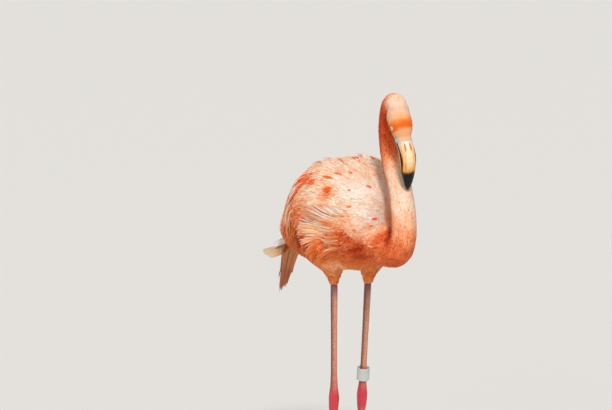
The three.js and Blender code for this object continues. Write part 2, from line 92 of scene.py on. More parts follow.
def addNode(tree, kind, values=None, stops=(), out=0, **settings):  # gives back the output called out
    node = tree.nodes.new("ShaderNode" + kind)
    for name, value in settings.items():
        setattr(node, name, value)
    connect(tree, node, values or {})
    for i, (place, code) in enumerate(stops):
        elements = node.color_ramp.elements
        element = elements[i] if i < 2 else elements.new(place)  # a new ramp has two
        element.position = place
        element.color = colour(code)
    return node.outputs[out]


def layColours(tree, tint, overlays):  # each colour over the last, by its share
    for share, code in overlays:
        tint = addNode(tree, "Mix", {0: share, 6: tint, 7: colour(code)}, out=2, data_type="RGBA")
    return tint


def newMaterial(name):
    material = bpy.data.materials.new(name)
    material.use_nodes = True
    tree = material.node_tree
    return material, tree, tree.nodes["Principled BSDF"]


def onlySelect(*objects):
    bpy.ops.object.select_all(action="DESELECT")
    for each in objects:
        each.select_set(True)
    bpy.context.view_layer.objects.active = objects[0]


def applyModifier(piece, kind, **settings):
    onlySelect(piece)
    modifier = piece.modifiers.new(kind.title(), kind)
    for name, value in settings.items():
        setattr(modifier, name, value)
    bpy.ops.object.modifier_apply(modifier=modifier.name)


def editAll(piece, *steps):  # each step is an operator and its settings, run on the whole mesh
    onlySelect(piece)
    bpy.ops.object.mode_set(mode="EDIT")
    bpy.ops.mesh.select_all(action="SELECT")
    for operator, settings in steps:
        operator(**settings)
    bpy.ops.object.mode_set(mode="OBJECT")


def shadeSmooth(piece):
    onlySelect(piece)
    bpy.ops.object.shade_smooth()


def copyOf(nodeNames, name):  # one object made of copies of CAD nodes, with the doubles merged
    copies = []
    for node in nodeNames:
        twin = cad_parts[node].copy()
        twin.data = twin.data.copy()
        twin.parent = None
        for key in list(twin.keys()):
            del twin[key]
        bpy.context.scene.collection.objects.link(twin)
        copies.append(twin)
    onlySelect(*copies)
    if len(copies) > 1:
        bpy.ops.object.join()
    made = bpy.context.view_layer.objects.active
    made.name = made.data.name = name
    made.data.materials.clear()
    editAll(made, (bpy.ops.mesh.remove_doubles, {"threshold": weld}))
    return made


def newPiece(name, mesh):
    made = bpy.data.objects.new(name, mesh)
    bpy.context.scene.collection.objects.link(made)
    return made


def points(mesh, items="vertices", key="co"):
    values = np.empty(len(mesh.vertices) * 3, np.float32)
    getattr(mesh, items).foreach_get(key, values)
    return values.reshape(-1, 3).astype(float)


def normalsOf(mesh):
    return points(mesh, "vertex_normals", "vector")


def setPoints(mesh, co):
    mesh.vertices.foreach_set("co", co.astype(np.float32).ravel())
    mesh.update()


def dress(mesh, values):  # one attribute for each named list of values, one value for each point
    for key, value in values.items():
        attribute = mesh.attributes.new(key, "FLOAT", "POINT")
        attribute.data.foreach_set("value", value.astype(np.float32))


def trianglesOf(mesh):
    mesh.calc_loop_triangles()
    return np.array([t.vertices for t in mesh.loop_triangles])


def treeOfNodes(names):  # for measuring to CAD nodes
    proxy = copyOf(names, "proxy")
    tree = BVHTree.FromPolygons(points(proxy.data).tolist(), trianglesOf(proxy.data).tolist())
    bpy.data.objects.remove(proxy)
    return tree


def nearest(tree, co):  # the nearest spots on a surface, its normals there, its faces, and the distances
    return [np.array(found) for found in zip(*[tree.find_nearest(Vector(p)) for p in co])]


def finishPiece(piece, material=None, replaced=()):
    if material:
        piece.data.materials.append(material)
    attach(piece, "root")
    if replaced:
        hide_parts(*replaced)


# Camera, floor and light
view = {"azimuth": 52, "distance": 4.2, "height": 1.6, "down": 11.77, "left": 1.26, "lens": 117.65}


def makeCamera():
    around, down, left = (math.radians(view[key]) for key in ("azimuth", "down", "left"))
    outwards = Vector((math.sin(around), -math.cos(around), 0))
    place = birdOrigin + outwards * view["distance"]
    place.z = view["height"]
    heading = Matrix.Rotation(left, 3, "Z") @ -outwards
    heading = heading * math.cos(down) - Vector((0, 0, math.sin(down)))
    bpy.ops.object.camera_add(location=place, rotation=heading.to_track_quat("-Z", "Y").to_euler())
    camera = bpy.context.object
    camera.data.sensor_width = 36
    camera.data.lens = view["lens"]
    bpy.context.scene.camera = camera


studio = {
    "key": {"from": (2.6, -1.5, 3.4), "strength": 2.1, "softness": 10},  # softness is its width in degrees
    "fill": {"from": (0.2, -3.5, 1.6), "strength": 0.45, "softness": 60},
    "world": 0.4,
    "floor": "#e9e6e1",
    "floorSize": 120,
}


def makeStudio():
    for name in ("key", "fill"):
        lamp = studio[name]
        place = Vector(lamp["from"])
        aim = (-place).to_track_quat("-Z", "Y").to_euler()
        bpy.ops.object.light_add(type="SUN", location=birdOrigin + place, rotation=aim)
        light = bpy.context.object
        light.name = name + "Light"
        light.data.energy = lamp["strength"]
        light.data.angle = math.radians(lamp["softness"])
    world = bpy.data.worlds.new("studio")
    bpy.context.scene.world = world
    world.use_nodes = True
    background = world.node_tree.nodes["Background"]
    connect(world.node_tree, background, {"Color": colour("#ffffff"), "Strength": studio["world"]})
    bpy.ops.mesh.primitive_plane_add(size=studio["floorSize"], location=(birdOrigin.x, 0, 0))
    floor = bpy.context.object
    floor.name = "floor"
    material, tree, shader = newMaterial("paleStudioFloor")  # matt painted board, evenly pale
    connect(tree, shader, {"Base Color": colour(studio["floor"]), "Roughness": 0.9})
    floor.data.materials.append(material)


makeCamera()
makeStudio()
bpy.context.scene.view_settings.view_transform = "Standard"
print("camera and studio ready")

# Where things are on the bird, in millimetres from its own origin
head = {"centre": (204, -29, 932), "yaw": -20, "pitch": 58, "roll": 6}  # as the head hangs
headTurn = (
    Matrix.Rotation(math.radians(head["yaw"]), 3, "Z")
    @ Matrix.Rotation(math.radians(head["roll"]), 3, "X")
    @ Matrix.Rotation(math.radians(head["pitch"]), 3, "Y")
)
headAxes = np.array(headTurn)  # its columns are forward, left and up on the level head
neckPoints = np.array([
    (62, 0, 706), (130, -3, 668), (177, -12, 660), (202, -16, 692), (204, -17, 735), (191, -16, 790),
    (163, -12, 842), (143, -7, 888), (138, -5, 928), (154, -11, 964), (183, -21, 969), (203, -29, 944),
], float)


def toLevelHead(birdPlaces):  # a place on the bird, read on the level head
    return (birdPlaces - np.array(head["centre"])) @ headAxes


def curveThrough(knots, stepsEach=12):  # Catmull-Rom, evenly stepped between knots
    padded = np.vstack([2 * knots[0] - knots[1], knots, 2 * knots[-1] - knots[-2]])
    out = []
    for a, b, c, d in zip(padded, padded[1:], padded[2:], padded[3:]):
        t = np.linspace(0, 1, stepsEach, endpoint=False)[:, None]
        curve = 2 * b + (c - a) * t + (2 * a - 5 * b + 4 * c - d) * t**2
        out.append(0.5 * (curve + (3 * b - a - 3 * c + d) * t**3))
    return np.vstack(out + [knots[-1:]])


def sharesAlong(line):  # the share of its length at each of a line's points
    lengths = np.concatenate([[0], np.cumsum(np.linalg.norm(np.diff(line, axis=0), axis=1))])
    return lengths / lengths[-1]


def squaredGaps(places, others, block=4000):  # to every one of the others, in blocks that fit in memory
    for i in range(0, len(places), block):
        yield ((places[i:i + block, None] - others[None]) ** 2).sum(2)


def nearestOn(line, places):  # the number of the line's nearest point
    return np.concatenate([gaps.argmin(1) for gaps in squaredGaps(places, line)])


neckCurve = curveThrough(neckPoints)
neckTangents = unit(np.gradient(neckCurve, axis=0))
neckShares = sharesAlong(neckCurve)

# How the coat is combed on the right side: place, way the feathers point, their length, their width, how
# far they stand off, and tone, from 0 for whitish to 1 for deep orange. The left side mirrors it. The lie
# of the coat flows out of the neck's base, up over the shoulders and down round the breast, to the tail.
combing = [
    # behind the neck's base, then the back as far as the tail
    ((152, -12, 728), (-0.15, -0.35, 1), 15, 6, 0.8, 0.42),
    ((142, -8, 764), (-0.45, -0.15, 1), 16, 6, 0.8, 0.16),
    ((120, -9, 790), (-0.9, -0.15, 0.7), 18, 7, 0.9, 0.14),
    ((96, -10, 805), (-1, -0.1, 0.4), 20, 7, 1.5, 0.18),
    ((72, -12, 815), (-1, -0.1, 0.2), 22, 8, 1.5, 0.18),
    ((36, -8, 826), (-1, -0.1, 0), 26, 8, 1.2, 0.18),
    ((-25, -40, 824), (-1, -0.1, -0.2), 34, 9, 1.0, 0.22),
    ((-80, -30, 800), (-1, 0, -0.4), 38, 10, 1.0, 0.28),
    ((-140, -20, 742), (-0.8, 0, -0.7), 38, 10, 1.0, 0.42),
    ((-185, -12, 690), (-0.7, 0, -0.8), 34, 9, 1.0, 0.38),
    # shoulder and the wing's upper side
    ((72, -67, 797), (-1, -0.35, 0.1), 22, 7, 0.9, 0.12),
    ((86, -78, 771), (-1, -0.3, -0.1), 24, 7, 0.9, 0.06),
    ((59, -94, 768), (-1, -0.2, -0.15), 26, 8, 0.9, 0.20),
    ((108, -58, 771), (-0.8, -0.6, 0.1), 20, 7, 0.9, 0.04),
    ((94, -84, 743), (-1, -0.3, 0.1), 24, 8, 1.0, 0.14),
    ((15, -85, 800), (-1, -0.1, -0.3), 34, 9, 1.0, 0.22),
    ((-29, -94, 782), (-0.85, 0, -0.5), 40, 10, 1.0, 0.26),
    ((-58, -98, 752), (-0.65, 0, -0.75), 46, 10, 1.0, 0.42),
    ((10, -105, 755), (-0.9, 0, -0.3), 40, 10, 1.0, 0.26),
    # rear of the wing; its deep tones here are partly its own colour and partly painted shade
    ((-106, -87, 687), (-0.55, 0.1, -0.85), 50, 10, 1.0, 0.94),
    ((-133, -70, 660), (-0.7, 0.1, -0.7), 50, 10, 0.9, 1.06),
    ((-180, -42, 626), (-0.9, 0.2, -0.5), 40, 9, 0.8, 0.92),
    ((-70, -98, 715), (-0.55, 0, -0.85), 48, 10, 1.0, 0.62),
    # ruffled flank, swept back and up over the wing's lower edge
    ((85, -87, 729), (-1, -0.2, 0.42), 36, 9, 0.9, 0.40),
    ((40, -100, 722), (-1, 0, 0.42), 46, 10, 0.95, 0.52),
    ((0, -108, 725), (-1, 0, 0.12), 46, 11, 1.0, 0.44),
    ((-40, -104, 700), (-0.8, 0, -0.5), 44, 11, 1.0, 0.62),
    ((20, -100, 692), (-1, 0, 0.1), 46, 11, 1.0, 0.62),
    ((-15, -104, 672), (-0.95, 0, -0.3), 42, 11, 1.0, 0.72),
    ((45, -92, 673), (-1, 0, 0.05), 42, 10, 1.0, 0.80),
    ((-21, -102, 634), (-0.7, 0, -0.6), 30, 9, 1.0, 0.82),
    # breast, swept outwards round both sides; its tones near 0 are partly its own pale colour and partly
    # painted light against the shade of the neck and head
    ((143, -31, 730), (-0.35, -1, 0.3), 17, 6, 0.8, 0.02),
    ((122, -38, 778), (-0.75, -0.7, 0.4), 18, 6, 0.9, 0.02),
    ((128, -55, 738), (-0.7, -1, 0.05), 18, 6, 0.9, 0.0),
    ((118, -68, 715), (-0.7, -0.7, -0.3), 19, 6, 1.0, 0.16),
    ((109, -78, 704), (-0.7, -0.4, -0.5), 18, 6, 1.1, 0.34),
    ((140, -52, 690), (-0.5, -0.6, -0.6), 18, 6, 1.1, 0.36),
    ((160, -40, 655), (-0.3, -0.4, -0.9), 17, 6, 1.1, 0.62),
    # belly and vent; the belly's deep tone under the breast is partly its own colour and partly painted shade
    ((90, -83, 676), (-0.9, 0, -0.3), 28, 9, 1.0, 0.86),
    ((114, -59, 650), (-0.9, 0, -0.4), 24, 8, 0.9, 1.06),
    ((100, -25, 612), (-1, 0, 0), 26, 8, 0.9, 0.74),
    ((60, -75, 640), (-1, 0, -0.2), 28, 9, 1.0, 0.76),
    ((30, -40, 590), (-1, 0, 0), 28, 9, 0.9, 0.68),
    ((-80, -30, 584), (-1, 0, 0), 30, 9, 0.9, 0.92),
    ((-170, -20, 592), (-1, 0, 0), 30, 8, 0.8, 0.8),
    ((-110, -60, 610), (-1, 0.1, -0.1), 32, 9, 0.9, 1.0),
    # thigh
    ((10, -85, 640), (-0.5, 0, -0.8), 24, 8, 1.0, 0.72),
    ((-30, -50, 600), (-0.2, 0, -1), 18, 7, 0.9, 0.74),
    ((20, -48, 600), (-0.1, 0, -1), 18, 7, 0.9, 0.52),
    ((-9, -33, 562), (0, 0, -1), 12, 4.5, 0.8, 0.72),
]
combPlaces = np.array([row[0] for row in combing], float)
combWays = unit(np.array([row[1] for row in combing], float))
combSizes = np.array([row[2:] for row in combing], float)
mirror = np.array([1, -1, 1])
combPlaces = np.vstack([combPlaces, combPlaces * mirror])
combWays = np.vstack([combWays, combWays * mirror])
combSizes = np.vstack([combSizes, combSizes])
combReach = 11  # millimetres over which two combings blend at the least
combFalloff = 2.2


def combed(birdPlaces):  # way, length, width, lift and tone, each blended from the nearest combing
    ways, sizes = [], []
    for gaps in squaredGaps(birdPlaces, combPlaces):
        share = 1 / (gaps + combReach**2) ** combFalloff
        share /= share.sum(1, keepdims=True)
        ways.append(share @ combWays)
        sizes.append(share @ combSizes)
    return unit(np.vstack(ways)), np.vstack(sizes)


eye = {
    "radius": 6.3, "iris": 4.9, "pupil": 2.0, "cornea": 0.3, "clear": 7.0, "sunk": 0.7,
    "lid": {
        "across": 5.0, "high": 4.3, "thick": 0.9, "tilt": -8, "around": 48,
        "profile": (  # outwards and up off the eyeball, in thicknesses
            (0.0, -0.15), (-0.25, 0.25), (-0.1, 0.6), (0.5, 0.72), (1.2, 0.45), (2.0, -0.2), (2.8, -1.3),
            (1.6, -1.9), (0.3, -1.1),
        ),
    },
}
eyeBoxes = [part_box("eye_right"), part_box("eye_left")]
eyeCentres = [toBird(np.array((low + high) / 2)) for low, high in eyeBoxes]


# Skin: one surface under the coat, from the bill's base to the toes
skinPlan = {
    "bodyVoxel": 0.0042, "headVoxel": 0.0018, "legVoxel": 0.00135,
    "depth": {"body": 8.0, "neck": 2.6, "head": 1.1, "thigh": 5.0},  # of the coat, mm
    "blend": 2.5,  # mm over which one region passes into the next
    "hem": 555, "hemDepth": 0.9, "overHem": 45, "billBase": 38,
}
fleshOf = {
    "body": ["trunk", "wing_left", "wing_right"],
    "neck": ["neck_lower", "neck_middle", "neck_upper"],
    "head": ["head"],
    "thigh": ["thigh_left", "thigh_right"],
}
fleshNodes = [node for group in fleshOf.values() for node in group]
bodyNodes = fleshOf["body"] + fleshOf["neck"] + fleshOf["thigh"]
legNodes = [f"{part}_{side}" for side in ("left", "right") for part in ("shank", "ankle", "tarsus", "foot")]
regionTrees = {region: treeOfNodes(names) for region, names in fleshOf.items()}


def gapsTo(tree, co):  # in millimetres
    return nearest(tree, co)[3] * 1000


def regionShares(co):  # how much of each region a place belongs to
    weights = {k: 1 / (gapsTo(tree, co) + skinPlan["blend"]) ** 3 for k, tree in regionTrees.items()}
    total = sum(weights.values())
    return {k: w / total for k, w in weights.items()}


def coatDepth(co, shares):  # in millimetres
    depth = sum(skinPlan["depth"][k] * share for k, share in shares.items())
    hem = 1 - smooth(skinPlan["hem"], skinPlan["hem"] + skinPlan["overHem"], toBird(co)[:, 2])
    onThigh = shares["thigh"] * hem
    return depth * (1 - onThigh) + skinPlan["hemDepth"] * onThigh


def remeshed(names, name, voxel, smoothing):
    made = copyOf(names, name)
    applyModifier(made, "REMESH", mode="VOXEL", voxel_size=voxel, adaptivity=0)
    applyModifier(made, "SMOOTH", factor=0.5, iterations=smoothing)
    return made


def underCoat(names, name, voxel):  # a surface as deep under the CAD nodes as the coat is thick
    made = remeshed(names, name, voxel, 8)
    co = points(made.data)
    depth = coatDepth(co, regionShares(co))
    if "bill_upper" in names:  # the bill has no coat
        base = skinPlan["billBase"]
        depth = depth * (1 - smooth(base - 4, base, toLevelHead(toBird(co))[:, 0]))
    setPoints(made.data, co - normalsOf(made.data) * depth[:, None] / 1000)
    applyModifier(made, "SMOOTH", factor=0.5, iterations=3)
    return made


bodySkin = underCoat(bodyNodes, "bodySkin", skinPlan["bodyVoxel"])
headSkin = underCoat(["head", "neck_upper"], "headSkin", skinPlan["headVoxel"])
print("skin made", len(bodySkin.data.vertices), len(headSkin.data.vertices))

# Coat: closed vanes laid along the combed ways
thighComb = {"from": 640, "full": 592, "right": (0.07, 0.33, -0.94), "left": (0.05, -0.33, -0.94)}


def surfaceOf(piece):  # what the coat needs to know of the skin it grows on
    co, tris, normals = points(piece.data), trianglesOf(piece.data), normalsOf(piece.data)
    places = toBird(co)
    shares = regionShares(co)
    ways, sizes = combed(places)
    near = nearestOn(neckCurve, places)
    onThigh = (shares["thigh"] * smooth(thighComb["from"], thighComb["full"], places[:, 2]))[:, None]
    thighWays = np.where(places[:, 1:2] < 0, thighComb["right"], thighComb["left"])
    ways = ways * (1 - onThigh) + thighWays * onThigh
    neckShare, headShare = shares["neck"][:, None], shares["head"][:, None]
    ways = ways * (1 - neckShare - headShare) - neckTangents[near] * neckShare - headAxes[:, 0] * headShare
    ways = squareTo(normals, ways)
    corners = co[tris]
    area = np.linalg.norm(np.cross(corners[:, 1] - corners[:, 0], corners[:, 2] - corners[:, 0]), axis=1) / 2
    return {
        "co": co, "tris": tris, "sizes": sizes, "shares": shares, "area": area,
        "tree": BVHTree.FromPolygons(co.tolist(), tris.tolist()),
        "triNormals": unit(normals[tris].mean(1)), "triWays": unit(ways[tris].mean(1)),
        "depth": coatDepth(co, shares), "neckPlace": neckShares[near],
    }


def groundOf(names, voxel):  # what the feathers lie on: the skin, and the leg or bill that they reach over
    ground = underCoat(names, "ground", voxel)
    surface = surfaceOf(ground)
    bpy.data.objects.remove(ground)
    return surface


def readAt(surface, values, face, bary):  # a value of the skin's corners, inside a face
    return np.einsum("nc,nc...->n...", bary, values[surface["tris"][face]])


scattering = {"packing": 0.8, "tries": 3.2}  # area of a root in gaps squared, and tries for each root kept


def scatter(surface, spacing, inRegion):  # roots as far apart as spacing says, in mm at each skin point
    tris = surface["tris"]
    gap = spacing[tris].mean(1) / 1000
    wanted = surface["area"] * (inRegion[tris].mean(1) > 0.5) / (scattering["packing"] * gap**2)
    count = int(wanted.sum() * scattering["tries"])
    face = rng.choice(len(tris), count, p=wanted / wanted.sum())
    a, b = rng.random((2, count))
    flip = a + b > 1
    a[flip], b[flip] = 1 - a[flip], 1 - b[flip]
    bary = np.stack([1 - a - b, a, b], 1)
    place = readAt(surface, surface["co"], face, bary)
    reach = readAt(surface, spacing, face, bary) / 1000
    tree = kdtree.KDTree(count)
    for i, p in enumerate(place):
        tree.insert(p, i)
    tree.balance()
    crowded = np.zeros(count, bool)
    kept = []
    for i in range(count):
        if crowded[i]:
            continue
        kept.append(i)
        for _, j, _ in tree.find_range(place[i], reach[i]):
            crowded[j] = True
    return face[kept], bary[kept], place[kept]


def layAlong(surface, place, face, way, length, steps, hold=0.5):
    # Marches from each root along the combed way, staying on the skin. hold is how much of its way it keeps.
    spots, norms, ways = [place], [surface["triNormals"][face]], [way]
    here, heading = place, way
    for start, end in zip(steps, steps[1:]):
        here, _, index, _ = nearest(surface["tree"], here + heading * (length * (end - start))[:, None])
        norm = surface["triNormals"][index]
        heading = squareTo(norm, heading * hold + surface["triWays"][index] * (1 - hold))
        spots.append(here)
        norms.append(norm)
        ways.append(heading)
    return np.stack(spots, 1), np.stack(norms, 1), np.stack(ways, 1)


vaneShapes = {  # stations along the vane and its half-width at each, as shares
    "contour": ([0, 0.25, 0.5, 0.72, 0.9, 1], [0, 0.75, 1.0, 0.84, 0.44, 0]),
    "wisp": ([0, 0.5, 1], [0, 1, 0]),
    "roundStrand": ([0, 0.2, 0.45, 0.7, 0.9, 1], [0, 0.8, 1.0, 1.0, 0.72, 0]),
    "longStrand": ([0, 0.2, 0.45, 0.7, 0.88, 1], [0, 0.8, 1.0, 0.85, 0.5, 0]),
    "quill": ([0, 0.12, 0.3, 0.5, 0.68, 0.82, 0.92, 0.98, 1], [0, 0.4, 0.75, 0.95, 1.0, 0.95, 0.72, 0.4, 0]),
}
vaneSteps = {shape: np.array(stations, float) for shape, (stations, girth) in vaneShapes.items()}
bakePatch = (0.0015, 0.003)  # a vane's patch on the bake map, across and along
curlFrom, curlScale = 0.6, 160  # where along the vane its tip begins to curl, and the curl's unit


def vaneLoops(rings, count):  # the corners of every vane's faces, and where each face's corners start
    each = rings * 3 + 2
    tail = 1 + (rings - 1) * 3
    ends = [(0, 1 + (j + 1) % 3, 1 + j) for j in range(3)]
    ends += [(each - 1, tail + j, tail + (j + 1) % 3) for j in range(3)]
    sides = [
        (1 + i * 3 + j, 1 + i * 3 + (j + 1) % 3, 4 + i * 3 + (j + 1) % 3, 4 + i * 3 + j)
        for i in range(rings - 1) for j in range(3)
    ]
    offset = (np.arange(count) * each)[:, None, None]
    endLoops = (np.array(ends)[None] + offset).reshape(-1)
    sideLoops = (np.array(sides, int).reshape(-1, 4)[None] + offset).reshape(-1)
    starts = [np.arange(0, len(endLoops), 3), len(endLoops) + np.arange(0, len(sideLoops), 4)]
    return np.concatenate([endLoops, sideLoops]), np.concatenate(starts)


def vaneMesh(name, plan, spots, norms, ways, width, lift, values, rootUv, curl, hug=2):
    # Each vane is a closed solid: a point at the root, rings of left rim, ridge and right rim, a point at the
    # tip. The higher hug is, the sooner the vane reaches its lift.
    steps, girth = (np.array(v, float) for v in vaneShapes[plan["shape"]])
    count, last = len(spots), len(steps) - 1
    rings = last - 1
    rise = lift[:, None] * (1 - (1 - steps[None]) ** hug) / 1000
    rise = rise + curl[:, None] * np.clip(steps[None] - curlFrom, 0, 1) ** 2 / curlScale
    centre = spots + norms * rise[..., None]
    inner = slice(1, last)
    half = (width[:, None] * girth[None] / 2000)[:, inner][..., None]
    edgeDrop = norms[:, inner] * (plan["camber"] * half)
    out = np.cross(norms, ways)[:, inner] * half
    middle = centre[:, inner]
    ridge = middle + norms[:, inner] * (plan["thick"] / 1000)
    ring = np.stack([middle - out - edgeDrop, ridge, middle + out - edgeDrop], 2).reshape(count, rings * 3, 3)
    co = np.concatenate([centre[:, :1], ring, centre[:, last:]], 1).reshape(-1, 3)
    each = rings * 3 + 2  # points in a vane
    loops, starts = vaneLoops(rings, count)
    mesh = bpy.data.meshes.new(name)
    mesh.vertices.add(len(co))
    mesh.vertices.foreach_set("co", co.astype(np.float32).ravel())
    mesh.loops.add(len(loops))
    mesh.loops.foreach_set("vertex_index", loops.astype(np.int32))
    mesh.polygons.add(len(starts))
    mesh.polygons.foreach_set("loop_start", starts.astype(np.int32))
    mesh.update(calc_edges=True)
    mesh.polygons.foreach_set("use_smooth", np.ones(len(starts), bool))
    edges = np.empty(len(mesh.edges) * 2, np.int32)
    mesh.edges.foreach_get("vertices", edges)
    # the rims and the two ends are sharp, the ridge isn't
    role = np.concatenate([[3], np.tile([0, 1, 2], rings), [3]])[edges.reshape(-1, 2) % each]
    rim = ((role == 0) | (role == 3)).all(1) | ((role == 2) | (role == 3)).all(1)
    mesh.edges.foreach_set("use_edge_sharp", rim)
    across = np.concatenate([[0], np.tile([-1, 0, 1], rings), [0]])
    along = np.concatenate([[0], np.repeat(steps[inner], 3), [1]])
    vane = np.tile(np.stack([across, along], 1), (count, 1))
    patch = np.repeat(rootUv, each, 0) + (vane - [0, 0.5]) * bakePatch
    for uvName, uv in (("OFBake", patch), ("vane", vane * [0.5, 1] + [0.5, 0])):
        layer = mesh.uv_layers.new(name=uvName)
        layer.data.foreach_set("uv", uv[loops].astype(np.float32).ravel())
    dress(mesh, {key: np.repeat(value, each) for key, value in values.items()})
    return newPiece(name, mesh)


# An unwrap of the skin, which gives each vane its place on the bake map
unwrapPlan = {"voxel": 0.008, "foldDegrees": 66, "margin": 0.004}


def makeUnwrap():
    proxy = copyOf(fleshNodes, "unwrapProxy")
    applyModifier(proxy, "REMESH", mode="VOXEL", voxel_size=unwrapPlan["voxel"], adaptivity=0)
    settings = {"angle_limit": math.radians(unwrapPlan["foldDegrees"]), "island_margin": unwrapPlan["margin"]}
    editAll(proxy, (bpy.ops.uv.smart_project, settings))
    mesh = proxy.data
    co, tris = points(mesh), trianglesOf(mesh)
    loops = np.array([t.loops for t in mesh.loop_triangles])
    uv = np.empty(len(mesh.loops) * 2, np.float32)
    mesh.uv_layers.active.data.foreach_get("uv", uv)
    bpy.data.objects.remove(proxy)
    return BVHTree.FromPolygons(co.tolist(), tris.tolist()), co[tris], uv.reshape(-1, 2)[loops]


def placeOnUnwrap(unwrap, co):
    tree, corners, cornerUv = unwrap
    index = nearest(tree, co)[2]
    a, b, c = (corners[index, k] for k in range(3))
    toB, toC, toPlace = b - a, c - a, co - a
    bb, bc, cc = (toB * toB).sum(1), (toB * toC).sum(1), (toC * toC).sum(1)
    pb, pc = (toPlace * toB).sum(1), (toPlace * toC).sum(1)
    scale = bb * cc - bc * bc + 1e-18
    v, w = (cc * pb - bc * pc) / scale, (bb * pc - bc * pb) / scale
    bary = np.clip(np.stack([1 - v - w, v, w], 1), 0, 1)
    bary /= bary.sum(1, keepdims=True)
    return np.einsum("nc,ncd->nd", bary, cornerUv[index])


def grain(places, size):  # smooth noise from about -1 to 1, one value for each place
    q = places / size
    cell = np.floor(q).astype(np.int64)
    t = q - cell
    t = t * t * (3 - 2 * t)
    total = 0
    for corner in np.ndindex(2, 2, 2):
        c = cell + corner
        mixed = (c[..., 0] * 374761393 + c[..., 1] * 668265263 + c[..., 2] * 2147483647) & 0xFFFFFFFF
        mixed = ((mixed ^ (mixed >> 13)) * 1274126177) & 0xFFFFFFFF
        value = ((mixed ^ (mixed >> 16)) & 0xFFFF) / 32768 - 1
        weight = np.prod(np.where(np.array(corner) == 1, t, 1 - t), -1)
        total = total + value * weight
    return total


# Markings, the same for skin and coat
bareLine = {  # where the face's bare skin ends, on the level head
    "front": 43.5, "rounding": 0.03, "lores": 11, "loresUp": 1.5, "loresHalf": 4.5, "loresOut": (9, 14),
}
markings = {
    # along the neck; from 0.68 of its length to 0.91 the deep tone is partly its own orange and partly the
    # head's painted shadow
    "neckToneAndShadow": (
        (0, 0.3), (0.12, 0.3), (0.2, 0.72), (0.29, 0.74), (0.38, 0.4), (0.46, 0.16), (0.6, 0.24),
        (0.68, 0.66), (0.8, 0.96), (0.87, 0.9), (0.91, 0.6), (0.94, 0.2), (1, 0.14),
    ),
    "neckSideShade": 0.45,  # painted shade: how much deeper in tone the lower neck is on its side towards the body
    # place, reach and strength of softer patches, right side and left side alike; the last, paler on the
    # thigh's front, is a painted highlight
    "patches": (
        ((44, -97, 768), 11, 0.5), ((50, -93, 780), 7, 0.5), ((24, -101, 762), 11, -0.12),
        ((-160, -50, 640), 26, 0.2), ((87, -81, 664), 9, -0.26), ((24, -48, 604), 11, -0.3),
    ),
    "band": (-6, 15),  # along the level head, where the bright band fades in behind the bill
    "fringe": (15, 24),  # and where the pale fringe does
    "wander": 1.6, "wanderSize": 5.0,  # how uneven their borders are, mm
    "crown": 0.16, "bandTone": 0.64, "fringeTone": 0.8, "cheekTone": 0.25, "blaze": 0.6,
    "headGold": 0.2, "faceGold": 0.34, "fringeGold": 0.14,
    "bellyGold": 0.4, "rearGold": 0.26, "thighGold": 0.6,
    # from where to where each grows from none to whole, mm on the bird
    "bellyLow": (662, 595), "bellyAhead": (-150, 20), "rearBack": (-30, -110), "rearLow": (760, 690),
    # mm behind the neck's middle, and shares of its length, over which the painted shade on the neck's side
    # towards the body fades in
    "behind": (0, 13), "neckSideShadeStart": (0.26, 0.34), "neckSideShadeEnd": (0.68, 0.58),
    # mm on the level head; the cheeks and the chin are deeper
    "cheeksLow": (2, -12), "cheeksAhead": (-20, 10), "faceAhead": (-32, 0), "ashEdge": (-1.0, 1.5),
}


def bareFrom(level):  # where the face's feathers begin behind the bill, read along the level head
    lores = hump(level[:, 2], bareLine["loresUp"], bareLine["loresHalf"])
    lores = lores * smooth(*bareLine["loresOut"], np.abs(level[:, 1]))
    return bareLine["front"] - bareLine["rounding"] * level[:, 1] ** 2 - bareLine["lores"] * lores


def goldBelow(places):  # the belly and the wing's rear are more golden
    x, z = places[:, 0], places[:, 2]
    belly = smooth(*markings["bellyLow"], z) * smooth(*markings["bellyAhead"], x)
    rear = smooth(*markings["rearBack"], x) * smooth(*markings["rearLow"], z)
    return markings["bellyGold"] * belly + markings["rearGold"] * rear


def markingsAt(co, sizes, shares, neckPlace):
    places = toBird(co)
    tone = sizes[:, 3].copy()
    sided = places.copy()
    sided[:, 1] = -np.abs(sided[:, 1])
    for place, reach, strength in markings["patches"]:
        tone += strength * np.exp(-((sided - place) ** 2).sum(1) / (2 * reach**2))
    knots = np.array(markings["neckToneAndShadow"])
    neckToneAndShadow = np.interp(neckPlace, knots[:, 0], knots[:, 1])
    # painted shade: the lower neck is deeper in tone on its side towards the body
    middle = np.interp(neckPlace, neckShares, neckCurve[:, 0])
    behind = smooth(*markings["behind"], middle - places[:, 0])
    behind = behind * smooth(*markings["neckSideShadeEnd"], neckPlace) * smooth(*markings["neckSideShadeStart"], neckPlace)
    neckToneAndShadow = neckToneAndShadow + markings["neckSideShade"] * behind
    level = toLevelHead(places)
    x = level[:, 0] + markings["wander"] * grain(places, markings["wanderSize"])
    band, fringe = smooth(*markings["band"], x), smooth(*markings["fringe"], x)
    headTone = markings["crown"] + markings["bandTone"] * band - markings["fringeTone"] * fringe
    cheeks = markings["cheekTone"] * smooth(*markings["cheeksLow"], level[:, 2])
    headTone += cheeks * smooth(*markings["cheeksAhead"], x)
    onHead, onNeck = shares["head"], shares["neck"]
    tone = tone * (1 - onNeck - onHead) + neckToneAndShadow * onNeck + headTone * onHead
    gold = markings["headGold"] + markings["faceGold"] * smooth(*markings["faceAhead"], x)
    gold = gold + markings["fringeGold"] * fringe
    below = shares["body"] + markings["thighGold"] * shares["thigh"]
    gold = onHead * gold + goldBelow(places) * below
    ash = onHead * smooth(*markings["ashEdge"], level[:, 0] - bareFrom(level))
    blaze = markings["blaze"] * onHead * band**1.5 * (1 - fringe)
    marks = {"tone": tone, "gold": gold, "blaze": blaze, "ash": ash}
    return {key: np.clip(value, 0, 1) for key, value in marks.items()}


